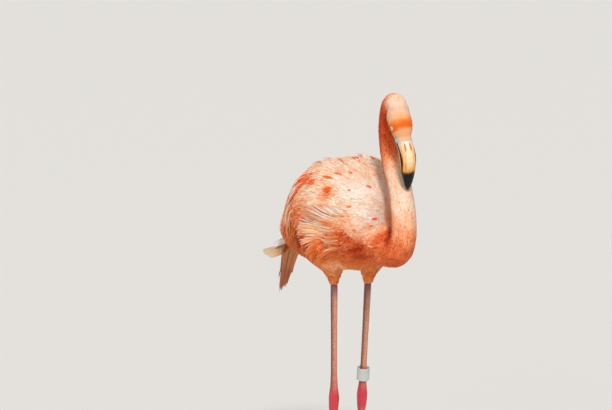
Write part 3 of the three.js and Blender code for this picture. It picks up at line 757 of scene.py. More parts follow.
coatColours = [
    (0, "#fff0e2"), (0.2, "#ffd6b2"), (0.4, "#fdad78"), (0.6, "#f37f40"), (0.8, "#de5010"), (1, "#a82800"),
]
coatMarks = [("gold", "#ffa02a"), ("blaze", "#ff6412"), ("ash", "#c4b8aa")]
barbs = {  # rows along a vane, their slant to its middle, and how even they are; coarse, so that they show
    "soft": {"rows": 60, "slant": -9, "Scale": 0.32, "Distortion": 1.2},
    "stiff": {"rows": 130, "slant": -24, "Scale": 0.35, "Distortion": 1.0},
}


def vaneCoordinates(tree):  # across and along each vane, from 0 to 1
    across = addNode(tree, "SeparateXYZ", {0: addNode(tree, "UVMap", uv_map="vane")}, out="X")
    return across, across.node.outputs["Y"]


def barbBump(tree, across, along, plan):  # distance off the vane's middle, and a bump of slanting barbs
    off = addNode(tree, "Math", {0: across, 1: 0.5}, operation="SUBTRACT")
    off = addNode(tree, "Math", {0: off}, operation="ABSOLUTE")
    run = addNode(tree, "Math", {0: along, 1: plan["rows"]}, operation="MULTIPLY")
    slant = addNode(tree, "Math", {0: off, 1: plan["slant"], 2: run}, operation="MULTIPLY_ADD")
    lines = addNode(tree, "CombineXYZ", {0: slant})
    evenness = {key: plan[key] for key in ("Scale", "Distortion")}
    wave = addNode(tree, "TexWave", {"Vector": lines, **evenness}, out="Fac")
    return off, addNode(tree, "Bump", {"Height": wave, "Strength": 0.2, "Distance": 0.0003})


def makePlumage(name, vanes):
    # Keratin barbs, matt and soft: light glances off their edges, so a little sheen and no hard gloss.
    material, tree, shader = newMaterial(name)
    coords = addNode(tree, "TexCoord", out="Object")
    mottle = addNode(tree, "TexNoise", {"Vector": coords, "Scale": 90, "Detail": 3, "Roughness": 0.6})
    tone = addNode(tree, "Math", {0: mottle, 1: 0.24, 2: "tone"}, operation="MULTIPLY_ADD")
    if vanes:
        across, along = vaneCoordinates(tree)
        tone = addNode(tree, "Math", {0: along, 1: -0.3, 2: tone}, operation="MULTIPLY_ADD")
    base = addNode(tree, "Math", {0: tone, 1: 0.06 if vanes else -0.05}, operation="ADD")
    tint = addNode(tree, "ValToRGB", {"Fac": base}, stops=coatColours)
    tint = layColours(tree, tint, coatMarks)
    if vanes:
        tip = addNode(tree, "MapRange", {"Value": along, "From Min": 0.55, "From Max": 1.0})
        tip = addNode(tree, "Math", {0: tip, 1: "paleTip"}, operation="MULTIPLY")
        tint = layColours(tree, tint, [(tip, "#fff0e0")])
        _, bump = barbBump(tree, across, along, barbs["soft"])
        connect(tree, shader, {"Normal": bump})
    connect(tree, shader, {
        "Base Color": tint, "Roughness": 0.75, "IOR": 1.54, "Specular IOR Level": 0.2,
        "Sheen Weight": 0.03, "Sheen Roughness": 0.5,
    })
    return material


plumage = makePlumage("featherVanes", True)
skinPlumage = makePlumage("featheredSkin", False)

# The coat, tract by tract
# spacing of the roots, length, width and thickness are in millimetres; long, wide and lift are shares of what
# the combing says, and turn is in degrees
usualVane = {"shape": "wisp", "camber": 0.08, "streak": 0.12, "turn": 7, "paleTip": 0.4, "speck": 0}
layers = {
    "contour": {
        **usualVane, "shape": "contour", "spacing": 4.9, "long": 1.1, "wide": 1.15, "lift": 0.92,
        "thick": 0.3, "camber": 0.2, "curl": 1.5, "hug": 2,
    },
    "barbs": {
        **usualVane, "spacing": 1.5, "long": 0.72, "width": 2.0, "lift": 1.08, "thick": 0.14,
        "streak": 0.17, "curl": 0.6, "turn": 5, "hug": 3.5, "speck": 0.012,
    },
    "neck": {
        **usualVane, "spacing": 0.95, "length": 10, "width": 1.4, "lift": 0.9, "thick": 0.1,
        "curl": 0.2, "hug": 3, "paleTip": 0.3, "speck": 0.07,
    },
    "head": {
        **usualVane, "spacing": 0.56, "length": 4.2, "width": 0.9, "lift": 0.95, "thick": 0.07,
        "streak": 0.06, "curl": 0.1, "hug": 2.5, "paleTip": 0.05,
    },
}
coatFit = {  # millimetres, where no share is meant
    "strays": (0.16, 0.12, 0.1), "strayEnds": (0.6, 1.5),  # how far length, width and lift stray, as shares
    "usualWidth": 9, "closest": 0.66, "widest": 1.1,  # feathers narrower than usual stand closer
    "nape": (-14, -34), "napeLonger": 5,  # along the level head
    "headReach": 70,  # the neck's feathers mind the bill within this of the head's centre
    "clearOfHem": 4, "nearHem": (620, 575), "hemShorter": 0.35, "hemNarrower": 0.45,
    "leastLift": 2.2,  # at the hem the feathers lie on the bare leg
    "leastHeadLift": 0.8, "cheekLift": 2.6, "cheekAt": -18, "cheekHalf": 13,  # fuller behind the eyes
    "streakSize": 7.0, "rearStreaks": 0.9, "toneStray": 0.08, "speckTone": 0.34,
}


def rootsOf(surface, layer, regions, where):  # the face, the place in it and the spot of each vane's root
    spacing = np.full(len(surface["co"]), float(layer["spacing"]))
    if "body" in regions:
        narrow = surface["sizes"][:, 1] / coatFit["usualWidth"]
        spacing *= np.clip(narrow, coatFit["closest"], coatFit["widest"])
    inRegion = sum(surface["shares"][k] for k in regions) * where
    face, bary, place = scatter(surface, spacing, inRegion)
    level = toLevelHead(toBird(place))
    keep = readAt(surface, inRegion, face, bary) > 0.5
    atHead = ("head" in regions) | (np.linalg.norm(level, axis=1) < coatFit["headReach"])
    keep &= (level[:, 0] < bareFrom(level)) | ~atHead
    keep &= toBird(place)[:, 2] > skinPlan["hem"] + coatFit["clearOfHem"]
    return face[keep], bary[keep], place[keep]


def vaneSizes(surface, layer, regions, face, bary, place, share):  # length, width and lift in millimetres
    fit, count = coatFit, len(face)
    x, z = toLevelHead(toBird(place))[:, 0], toBird(place)[:, 2]
    sizes = readAt(surface, surface["sizes"], face, bary)
    length = np.full(count, float(layer["length"])) if "length" in layer else sizes[:, 0] * layer["long"]
    width = np.full(count, float(layer["width"])) if "width" in layer else sizes[:, 1] * layer["wide"]
    if "head" in regions:
        length = length + fit["napeLonger"] * smooth(*fit["nape"], x)
    strays = [np.clip(1 + rng.normal(0, amount, count), *fit["strayEnds"]) for amount in fit["strays"]]
    length, width = length * strays[0], width * strays[1]
    onThigh = share["thigh"] > 0.4
    toHem = np.clip(z - skinPlan["hem"] + 1, 4, None) * 1.05
    near = smooth(*fit["nearHem"], z)
    length = np.where(onThigh, np.minimum(length * (1 - fit["hemShorter"] * near), toHem), length)
    width = np.where(onThigh, width * (1 - fit["hemNarrower"] * near), width)
    raised = sizes[:, 2] if "body" in regions else 1
    lift = readAt(surface, surface["depth"], face, bary) * raised * layer["lift"] * strays[2]
    if "body" in regions:
        lift = np.maximum(lift, fit["leastLift"])
    if "head" in regions:
        cheeks = hump(x, fit["cheekAt"], fit["cheekHalf"])
        lift = np.maximum(lift, fit["leastHeadLift"]) + fit["cheekLift"] * cheeks
    return length, width, lift


def vaneMarks(surface, layer, regions, face, bary, place, share, spots):
    fit, count = coatFit, len(face)
    if "body" in regions:  # the root is covered by other feathers, so the marks are read further out
        seen = spots[:, 1:].mean(1)
        sizes = combed(toBird(seen))[1]
    else:
        seen = place
        sizes = readAt(surface, surface["sizes"], face, bary)
    values = markingsAt(seen, sizes, share, readAt(surface, surface["neckPlace"], face, bary))
    streak = grain(toBird(spots.reshape(-1, 3)), fit["streakSize"]).reshape(count, -1).mean(1)
    rear = 1 + fit["rearStreaks"] * smooth(20, -80, toBird(place)[:, 0])
    tone = values["tone"]
    tone += layer["streak"] * streak * rear + rng.uniform(-fit["toneStray"], fit["toneStray"], count)
    tone += fit["speckTone"] * (rng.random(count) < layer["speck"])
    tone = np.clip(tone, 0, 1)
    paleTip = np.clip(layer["paleTip"] * (1.02 - tone) * rng.uniform(0.3, 1.5, count), 0, 1)
    return {**values, "tone": tone, "paleTip": paleTip * (1 - 0.5 * values["gold"])}


def growCoat(surface, unwrap, regions, layerName, naming, where=1):
    layer = layers[layerName]
    face, bary, place = rootsOf(surface, layer, regions, where)
    count = len(face)
    share = {k: readAt(surface, v, face, bary) for k, v in surface["shares"].items()}
    length, width, lift = vaneSizes(surface, layer, regions, face, bary, place, share)
    norm, way = surface["triNormals"][face], surface["triWays"][face]
    turn = np.radians(rng.normal(0, layer["turn"], count))[:, None]
    way = unit(way * np.cos(turn) + np.cross(norm, way) * np.sin(turn))
    spots, norms, ways = layAlong(surface, place, face, way, length / 1000, vaneSteps[layer["shape"]])
    values = vaneMarks(surface, layer, regions, face, bary, place, share, spots)
    rootUv = placeOnUnwrap(unwrap, place)
    curl = np.clip(rng.normal(0, layer["curl"], count), -layer["curl"], 2 * layer["curl"])
    clear = np.ones(count, bool)
    for centre in eyeCentres:
        clear &= (np.linalg.norm(toBird(spots) - centre, axis=2) > eye["clear"]).all(1)
    label = naming(toBird(place), share)
    for name in sorted(set(label)):
        at = (label == name) & clear
        marks = {k: v[at] for k, v in values.items()}
        piece = vaneMesh(
            name, layer, spots[at], norms[at], ways[at], width[at], lift[at], marks, rootUv[at],
            curl[at], layer["hug"],
        )
        finishPiece(piece, plumage)
        triangles = sum(len(p.vertices) - 2 for p in piece.data.polygons)
        print("coat", piece.name, at.sum(), "vanes", triangles, "triangles")


def bodyNaming(prefix):
    def naming(places, share):
        x, y, z = places.T
        sided = np.where(y < 0, "Right", "Left")
        label = np.where(x > 80, "Breast", np.where(z > 765, "Back", np.char.add("Flank", sided)))
        label = np.where(z < 610, "Belly", label)
        label = np.where(share["thigh"] > 0.5, np.char.add("Thigh", sided), label)
        return np.char.add(prefix, label)

    return naming


def neckNaming(places, share):
    near = neckShares[nearestOn(neckCurve, places)]
    return np.where(near < 0.4, "neckLower", "neckMiddle")


def oneName(name):
    return lambda places, share: np.full(len(places), name)


unwrap = makeUnwrap()
print("unwrap made")
headSurface = surfaceOf(headSkin)
bodyGround = groundOf(bodyNodes + ["shank_left", "shank_right"], skinPlan["bodyVoxel"])
faceGround = groundOf(["head", "neck_upper", "bill_upper"], skinPlan["headVoxel"])
print("surfaces read")
nape = 1.6 * (headSurface["neckPlace"] > 0.76)
for layerName in ("contour", "barbs"):
    growCoat(bodyGround, unwrap, ("body", "thigh"), layerName, bodyNaming(layerName))
growCoat(bodyGround, unwrap, ("neck",), "neck", neckNaming, bodyGround["neckPlace"] < 0.8)
growCoat(headSurface, unwrap, ("neck",), "neck", oneName("neckUpper"), nape)
growCoat(faceGround, unwrap, ("head",), "head", oneName("headFeathers"), 1.3)

# Long feathers laid over the coat in locks. Right side: root, way, length, width and count of the strands,
# their lift, tone, and how much of the bright marking they carry.
locks = {
    "wingStreaks": [
        ((-10, -86, 800), (-1, 0, -0.5), 92, 3.4, 6, 11.2, 0.16, 0),
        ((-30, -92, 786), (-0.9, 0, -0.6), 100, 3.4, 7, 11.2, 0.14, 0),
        ((-46, -80, 792), (-0.9, 0, -0.6), 104, 3.4, 7, 11.2, 0.30, 0),
        ((-60, -60, 796), (-0.9, 0, -0.5), 106, 3.4, 6, 11.2, 0.22, 0),
        ((-70, -92, 752), (-0.7, 0, -0.8), 100, 3.4, 7, 11.2, 0.26, 0),
        ((-56, -99, 742), (-0.7, 0, -0.8), 92, 3.4, 7, 11.2, 0.54, 0),
        ((-92, -76, 750), (-0.7, 0, -0.8), 108, 3.4, 7, 11.2, 0.36, 0),
        # the locks of tone 0.74 and above, low on the wing's rear, are deep partly as painted shade
        ((-80, -95, 718), (-0.6, 0, -0.9), 96, 3.4, 8, 11.2, 0.74, 0),
        ((-100, -86, 706), (-0.6, 0, -0.9), 96, 3.4, 8, 11.2, 0.74, 0),
        ((-64, -102, 704), (-0.6, 0, -0.9), 82, 3.4, 8, 11.2, 0.9, 0),
        ((-120, -60, 726), (-0.7, 0, -0.8), 102, 3.4, 7, 11.2, 0.40, 0),
        ((-118, -78, 690), (-0.6, 0, -0.8), 78, 3.4, 8, 11.2, 0.9, 0),
        ((-90, -92, 672), (-0.6, 0.1, -0.7), 66, 3.4, 7, 11.2, 1, 0),
        ((-100, -40, 780), (-0.9, 0, -0.6), 108, 3.4, 6, 11.2, 0.30, 0),
        ((-130, -20, 752), (-0.8, 0, -0.7), 96, 3.4, 6, 11.2, 0.34, 0),
        ((-148, -60, 664), (-0.5, 0.2, -0.85), 40, 4, 5, 11.4, 1, 0),
    ],
    # narrow locks that sweep up over the wing's lower edge
    "flankPlumes": [
        ((96, -85, 731), (-0.8, -0.38, 0.46), 40, 2, 6, 12.5, 0.08, 0),
        ((92, -85, 726), (-0.82, -0.35, 0.45), 52, 2, 6, 12.5, 0, 0),
        ((89, -87, 721), (-0.85, -0.3, 0.43), 64, 2, 6, 12.5, 0.26, 0),
        ((87, -88, 715), (-0.88, -0.28, 0.4), 74, 2, 6, 12.5, 0.02, 0),
        ((86, -89, 711), (-0.9, -0.26, 0.36), 80, 2, 6, 12, 0.4, 0),
        ((85, -90, 706), (-0.93, -0.23, 0.3), 88, 2, 7, 12, 0.12, 0),
        ((79, -90, 700), (-0.95, -0.22, 0.24), 84, 2, 7, 12, 0.5, 0),
        ((75, -93, 696), (-0.97, -0.17, 0.18), 90, 2, 7, 12, 0.2, 0),
    ],
    # rounded locks below them, then those that hang over the thigh, and the edges of shoulder and breast
    "flankLobes": [
        ((58, -96, 698), (-0.99, -0.07, -0.05), 94, 2, 18, 13.5, 0.24, 0),
        ((50, -95, 688), (-0.99, 0.03, -0.12), 98, 2, 20, 13.5, 0.44, 0),
        ((68, -90, 683), (-0.98, -0.15, -0.11), 92, 2, 20, 13, 0.3, 0),
        ((82, -87, 692), (-0.98, -0.17, 0.02), 64, 2, 16, 13, 0.36, 0),
        ((92, -82, 681), (-0.98, -0.21, -0.07), 57, 2, 16, 12.5, 0.6, 0),
        ((89, -80, 671), (-0.97, -0.22, -0.08), 62, 2, 16, 12.5, 0.42, 0),
        ((84, -79, 663), (-0.96, -0.26, -0.08), 58, 2, 16, 12, 0.66, 0),
        ((82, -77, 655), (-0.94, -0.32, -0.09), 58, 2, 16, 12, 0.46, 0),
        ((67, -76, 645), (-0.92, -0.37, -0.12), 62, 2, 16, 11.5, 0.72, 0),
        ((20, -100, 682), (-1, 0, -0.2), 58, 2, 18, 12.5, 0.56, 0),
        ((34, -95, 670), (-1, 0, -0.2), 58, 2, 18, 12.5, 0.4, 0),
        ((30, -93, 656), (-1, 0, -0.25), 52, 2, 18, 12, 0.7, 0),
        ((0, -105, 668), (-0.41, 0.06, -0.91), 42, 2, 18, 11.6, 0.84, 0),
        ((20, -99, 658), (-0.49, 0.06, -0.87), 46, 2, 18, 11.6, 0.74, 0),
        ((35, -89, 648), (-0.59, 0.06, -0.8), 46, 2, 18, 11.2, 0.82, 0),
        ((-25, -103, 664), (-0.6, 0.2, -0.7), 44, 2, 18, 11.4, 0.96, 0),
        ((-50, -102, 672), (-0.6, 0.2, -0.75), 46, 2, 18, 11, 0.94, 0),
    ],
    # the loose edges of the shoulder and of the breast
    "edges": [
        ((74, -80, 785), (-0.49, -0.57, -0.66), 13, 1.3, 7, 10, 0.3, 0),
        ((82, -82, 772), (-0.6, -0.57, -0.55), 14, 1.3, 7, 10, 0.26, 0),
        ((91, -82, 758), (-0.65, -0.52, -0.56), 14, 1.3, 6, 10, 0.3, 0),
        ((114, -74, 711), (-0.64, -0.29, -0.71), 11, 1.3, 6, 10.2, 0.42, 0),
        ((118, -70, 703), (-0.6, -0.3, -0.72), 11, 1.3, 6, 10.4, 0.62, 0.2),
        ((123, -65, 696), (-0.57, -0.38, -0.73), 11, 1.3, 6, 10.4, 0.4, 0),
        ((127, -60, 689), (-0.6, -0.35, -0.72), 11, 1.3, 6, 10.4, 0.6, 0),
        ((132, -56, 683), (-0.61, -0.33, -0.72), 11, 1.3, 6, 10.4, 0.42, 0),
        ((138, -53, 678), (-0.61, -0.32, -0.72), 11, 1.3, 6, 10.4, 0.64, 0.2),
        ((146, -50, 673), (-0.63, -0.3, -0.72), 11, 1.3, 6, 10.2, 0.46, 0),
        ((155, -48, 669), (-0.67, -0.23, -0.71), 11, 1.3, 6, 9.8, 0.6, 0),
    ],
    "flecks": [
        ((40, -40, 822), (-1, 0, 0), 29, 4.4, 1, 12.9, 0.8, 1),
        ((24, -32, 826), (-1, 0, 0), 33, 4.4, 1, 12.9, 0.8, 1),
        ((4, -40, 826), (-1, 0, 0), 39, 4.4, 1, 12.9, 0.8, 1),
        ((-12, -54, 822), (-1, 0, 0), 45, 4.6, 1, 12.9, 0.8, 1),
        ((52, -78, 799), (-1, 0, -0.1), 32, 4.6, 1, 12.6, 0.8, 1),
        ((36, 4, 827), (-1, 0, 0), 24, 4.4, 1, 12.9, 0.8, 0.9),
        ((62, -6, 820), (-1, -0.3, 0), 24, 4.4, 1, 12.5, 0.8, 1),
        ((74, 2, 815), (-1, -0.5, 0), 24, 4.4, 1, 12.5, 0.8, 0.9),
        ((70, -38, 809), (-0.6, -0.8, 0), 21, 4.4, 1, 12.5, 0.6, 0.9),
        ((78, -26, 810), (-0.8, -0.6, 0), 24, 4.4, 1, 12.5, 0.6, 0.9),
        ((99, -4, 802), (-0.3, -1, 0), 18, 4.2, 1, 12.2, 0.7, 0.9),
        ((118, -27, 784), (-0.4, -0.6, 0), 16, 4, 1, 12.2, 0.6, 0.7),
        ((143, -31, 724), (-0.3, -1, 0), 16, 4, 1, 10.4, 0.7, 0.8),
        ((141, -40, 712), (-0.3, -1, 0), 15, 4, 1, 10.4, 0.6, 0.6),
        ((6, -82, 806), (-0.9, 0, -0.5), 63, 4.2, 2, 13.9, 0.8, 1),
        ((-14, -88, 796), (-0.8, 0, -0.6), 71, 4.2, 2, 13.6, 0.8, 1),
        ((-30, -78, 802), (-0.8, 0, -0.6), 85, 4.2, 2, 13.6, 0.8, 1),
        ((-36, -94, 776), (-0.7, 0, -0.7), 74, 4, 1, 13.6, 0.8, 1),
        ((-62, -80, 776), (-0.7, 0, -0.7), 116, 4.2, 2, 13.6, 0.8, 1),
        ((14, -92, 792), (-0.9, 0, -0.4), 39, 4.4, 2, 13.6, 0.8, 0.8),
        ((-112, -84, 690), (-0.5, 0.1, -0.9), 85, 4, 2, 12.6, 0.9, 0.6),
        ((-96, -90, 700), (-0.5, 0, -0.9), 74, 3, 1, 12.6, 0.8, 0.5),
        ((-100, -74, 742), (-0.6, 0, -0.9), 112, 4, 1, 12.8, 0.8, 0.9),
        ((55, -90, 786), (-0.6, -0.1, -0.9), 18, 3, 3, 13.3, 0.9, 1),
        ((60, -60, 806), (-1, -0.4, 0), 20, 4, 1, 12.7, 0.5, 0.5),
        ((96, -66, 784), (-0.8, -0.5, -0.2), 15, 3, 1, 12.2, 0.5, 0.35),
        ((104, -72, 748), (-0.8, -0.5, 0), 15, 3, 1, 11.4, 0.5, 0.4),
    ],
}
# apart is the gap between strands in mm, and fan is their spread in degrees. The outer strands are shorter
# by the share rounding and lower by crown, in mm. stray, loose and uneven are how far tone, place and height
# vary between strands, and under is how much deeper in tone the lower strands are, as painted shade under
# each lock.
usualLock = {"shape": "longStrand", "camber": 0.2, "rounding": 0, "crown": 0, "under": 0}
lockShapes = {
    "wingStreaks": {
        **usualLock, "thick": 0.4, "curl": 0.0, "apart": 2.8, "fan": 1.0,
        "stray": 0.17, "loose": 1.3, "uneven": 0.3, "paleTip": 0.4,
    },
    "flankPlumes": {
        **usualLock, "thick": 0.2, "curl": 2.0, "apart": 1.0, "fan": 2.5, "rounding": 0.22, "crown": 1.3,
        "stray": 0.05, "loose": 0.2, "uneven": 0.15, "paleTip": 0.6, "under": 0.08,
    },
    "flankLobes": {
        **usualLock, "shape": "roundStrand", "thick": 0.08, "camber": 0.06, "curl": -1.2, "apart": 0.8,
        "fan": 2.4, "rounding": 0.3, "crown": 4.6,
        "stray": 0.035, "loose": 0.25, "uneven": 0.14, "paleTip": 0.3, "under": 0.16,
    },
    "edges": {
        **usualLock, "thick": 0.12, "camber": 0.1, "curl": 0.8, "apart": 1.4, "fan": 6.0, "rounding": 0.2,
        "crown": 0.8, "stray": 0.14, "loose": 0.8, "uneven": 0.3, "paleTip": 0.7,
    },
    "flecks": {
        **usualLock, "thick": 0.3, "curl": -1.4, "apart": 2.6, "fan": 3.0,
        "stray": 0.05, "loose": 0.9, "uneven": 0.2, "paleTip": 0.0,
    },
}
strandStrays = {  # shares, and degrees
    "along": 0.05, "turn": 1.5, "length": 0.06, "ends": (0.8, 1.2), "paleTip": (0.5, 1.2),
    "curl": (-0.3, 1.2),
}
lockHold, lockHug = 0.7, 4  # how firmly a strand keeps its way, and how soon it reaches its lift


def layLocks(surface, unwrap, kind):
    plan = lockShapes[kind]
    triNormals = surface["triNormals"]
    for sideName, side in (("Right", 1), ("Left", -1)):
        rows = [row for row in locks[kind] for _ in range(row[4])]
        count = len(rows)
        flip = np.array([1, side, 1])
        roots = np.array([row[0] for row in rows], float) * flip
        ways = unit(np.array([row[1] for row in rows], float) * flip)
        length, width, lift, tone, blaze = np.array([row[2:4] + row[5:] for row in rows], float).T
        norm = triNormals[nearest(surface["tree"], [fromBird(r) for r in roots])[2]]
        ways = squareTo(norm, ways)
        sideways = np.cross(norm, ways)
        order = np.concatenate([np.linspace(-1, 1, row[4]) if row[4] > 1 else [0] for row in locks[kind]])
        apart = plan["apart"] * order * np.array([row[4] for row in rows]) / 2
        apart = (apart + rng.normal(0, plan["loose"], count))[:, None]
        onwards = ways * rng.normal(0, strandStrays["along"], count)[:, None] * length[:, None]
        roots = roots + sideways * apart + onwards
        turn = np.radians(rng.normal(0, strandStrays["turn"], count) + order * plan["fan"])[:, None]
        place, _, face, _ = nearest(surface["tree"], [fromBird(r) for r in roots])
        ways = squareTo(triNormals[face], ways * np.cos(turn) + sideways * np.sin(turn))
        length = length * np.clip(1 + rng.normal(0, strandStrays["length"], count), *strandStrays["ends"])
        length = length * (1 - plan["rounding"] * order**2)
        lift = lift + rng.normal(0, plan["uneven"], count) - plan["crown"] * order**2
        steps = vaneSteps[plan["shape"]]
        spots, norms, ways = layAlong(surface, place, face, ways, length / 1000, steps, lockHold)
        # painted shade: the lower strands of a lock are deeper in tone by under
        tone = np.clip(tone + rng.normal(0, plan["stray"], count) + plan["under"] * order * side, 0, 1)
        paleTip = plan["paleTip"] * (1 - tone) * rng.uniform(*strandStrays["paleTip"], count)
        values = {
            "tone": tone, "gold": goldBelow(toBird(spots[:, 3])) * (1 - blaze), "ash": np.zeros(count),
            "blaze": blaze, "paleTip": paleTip,
        }
        rootUv = placeOnUnwrap(unwrap, place)
        curl = plan["curl"] * rng.uniform(*strandStrays["curl"], count)
        piece = vaneMesh(
            kind + sideName, plan, spots, norms, ways, width, lift, values, rootUv, curl, lockHug,
        )
        finishPiece(piece, plumage)


for kind in locks:
    layLocks(bodyGround, unwrap, kind)
print("long feathers laid")

# Tail, and the loose plume that hangs under it; droop is in degrees, the rest in millimetres or shares
usualFan = {"node": [], "shape": "longStrand", "camber": 0.22}
fanStrays = {  # shares; height is in millimetres, and clear for each millimetre of loose
    "length": 0.03, "width": 0.06, "ends": (1, 0.97, 0.92, 0.84), "height": 0.5, "clear": (1, 3),
    "edgeNarrower": 0.15,
}
fans = {
    "tail": {
        **usualFan, "node": ["tail"], "root": (-186, 0, 612), "droop": 18, "length": 132, "rootHalf": 22,
        "tipHalf": 28, "arch": 0.6, "count": 12, "wide": 17, "rounding": 0.4, "stack": 1.3, "loose": 0,
        "shape": "quill", "thick": 0.7, "finish": "tailVanes", "shaft": "#ecd0ac", "shaftShare": 0.5,
        "stops": [(0, "#cf7f3e"), (0.3, "#dc9c58"), (0.75, "#e0ac78"), (1, "#dcc0a0")],
    },
    "tailCoverts": {
        **usualFan, "root": (-172, 0, 640), "droop": 24, "length": 124, "rootHalf": 21, "tipHalf": 17,
        "arch": 0.8, "count": 38, "wide": 5.2, "rounding": 0.2, "stack": 1.2, "loose": 1.6, "thick": 0.3,
        "finish": "tailCovertVanes", "shaft": "#f8f0e6", "shaftShare": 0.4,
        "stops": [(0, "#e8a878"), (0.4, "#f0cfb4"), (0.8, "#f4e8dc"), (1, "#f0e8e0")],
    },
    "ventPlume": {
        **usualFan, "node": ["vent_plume"], "root": (-202, -10, 611), "droop": 74, "length": 132,
        "rootHalf": 28, "tipHalf": 13, "arch": 0.3, "count": 46, "wide": 8, "rounding": 0.26, "stack": 1.6,
        "loose": 3, "thick": 0.4, "finish": "ventVanes", "shaft": "#d09060", "shaftShare": 0.3,
        "stops": [(0, "#e0863a"), (0.35, "#da9250"), (0.8, "#cf824a"), (1, "#b4602e")],
    },
}


def makeFan(name, unwrap, material):
    plan = fans[name]
    count, loose = plan["count"], plan["loose"]
    across = np.linspace(-1, 1, count)
    steps = vaneSteps[plan["shape"]]
    reach = plan["length"] * (1 - plan["rounding"] * across**2)
    reach = reach * (1 + rng.normal(0, fanStrays["length"], count))
    if loose:  # a soft plume: strands end at different lengths
        reach = reach * rng.choice(fanStrays["ends"], count)
    half = plan["rootHalf"] + (plan["tipHalf"] - plan["rootHalf"]) * np.sin(steps * math.pi / 2)
    x = -reach[:, None] * steps[None]
    y = across[:, None] * half[None]
    layer = rng.normal(0, fanStrays["height"] + loose / 3, count)[:, None] * np.sin(steps * math.pi)[None]
    sag = -plan["arch"] * half[None] * across[:, None] ** 2
    sag = sag - plan["stack"] * np.abs(across)[:, None] * 2 + layer
    if loose:  # a few strands stand clear of the rest on each side
        strays = np.array([0, 1, count - 2, count - 1])
        clear = np.sign(across[strays])[:, None] * rng.uniform(*fanStrays["clear"], 4)[:, None]
        y[strays] += clear * loose * steps[None] ** 2
    tilt = 2 * plan["arch"] * across[:, None] * np.ones_like(x)
    up = unit(np.stack([np.zeros_like(x), tilt, np.ones_like(x)], 2))
    turned = np.array(Matrix.Rotation(-math.radians(plan["droop"]), 3, "Y"))
    local = np.stack([x, y, sag], 2)
    spots = (np.array(plan["root"]) + local @ turned.T) / 1000 + originArray
    ways = unit(np.gradient(spots, axis=1))
    norms = squareTo(ways, up @ turned.T)
    width = plan["wide"] * (1 - fanStrays["edgeNarrower"] * np.abs(across))
    width = width * (1 + rng.normal(0, fanStrays["width"], count))
    flat = np.zeros(count)
    values = {"vary": rng.random(count)}
    rootUv = placeOnUnwrap(unwrap, spots[:, 0])
    piece = vaneMesh(name, plan, spots, norms, ways, width, flat, values, rootUv, flat)
    finishPiece(piece, material, plan["node"])


def makeQuillFinish(plan):
    # Stiff feathers: smooth vanes with a paler shaft, duller than the coat's soft ones.
    material, tree, shader = newMaterial(plan["finish"])
    across, along = vaneCoordinates(tree)
    shift = addNode(tree, "Math", {0: "vary", 1: 0.3, 2: along}, operation="MULTIPLY_ADD")
    tint = addNode(tree, "ValToRGB", {"Fac": shift}, stops=plan["stops"])
    off, bump = barbBump(tree, across, along, barbs["stiff"])
    settings = {"Value": off, "From Min": 0.06, "From Max": 0.02, "To Max": plan["shaftShare"]}
    tint = layColours(tree, tint, [(addNode(tree, "MapRange", settings), plan["shaft"])])
    connect(tree, shader, {
        "Base Color": tint, "Normal": bump, "Roughness": 0.6, "IOR": 1.54, "Sheen Weight": 0.15,
    })
    return material


for name, plan in fans.items():
    makeFan(name, unwrap, makeQuillFinish(plan))
print("tail made")

# Bare legs: scuted skin, jointed at the ankles
legs = {
    "right": {"knee": (-9, -33, 555), "ankle": (-11, -31, 293), "heel": (-28, -36, 15)},
    "left": {"knee": (25, 33, 555), "ankle": (3, 36, 293), "heel": (-16, 40, 15)},
}
scutes = {  # millimetres, where no share is meant
    "tall": 4.2, "deep": 0.35, "grain": 0.12, "grainSize": 2.4,
    "wander": 1.1, "wanderSize": 9.0,  # so that no two plates are the same height
    "slope": 1.2,  # how far a plate's edge falls for each radian round the leg
    "shaft": (26, 40), "facing": (0.1, 0.6),  # where they fade in, up the leg and round to its front
    "footTall": 2.6, "footDeep": 0.8, "foot": (24, 14), "footUp": (0.3, 0.8), "footOut": (10, 18),
    "top": 12, "narrowing": 0.3,  # of the skin under the thigh's feathers
    "toeTop": 26, "clawHem": 2.4, "clawSunk": 0.5,
}
legMarks = {  # middle and half height, or where each fades in, in millimetres, and their strengths
    "ankle": (291, 30), "shin": (430, 320), "shinRed": 0.22, "foot": (24, 8), "footRed": 0.35,
    "mauve": (512, 552), "mauveShare": 0.85, "web": (20, 12), "webOut": (14, 22),
}
clawNodes = {side: [f"claw_{side}_{toe}" for toe in ("inner", "middle", "outer", "hind")] for side in legs}
clawTree = treeOfNodes(clawNodes["right"] + clawNodes["left"])


def legAxisAt(places):  # the middle of the nearer leg at each place's height, in millimetres
    z = places[:, 2]
    axis = {}
    for side, leg in legs.items():
        knots = np.array([leg["heel"], leg["ankle"], leg["knee"]], float)
        axis[side] = np.stack([np.interp(z, knots[:, 2], knots[:, i]) for i in (0, 1)], 1)
    return np.where(places[:, 1:2] < 2, axis["right"], axis["left"])


def ridges(run, tall):  # rounded plates with narrow grooves between them
    return np.abs(np.sin(np.pi * run / tall)) ** 0.5 - 0.6


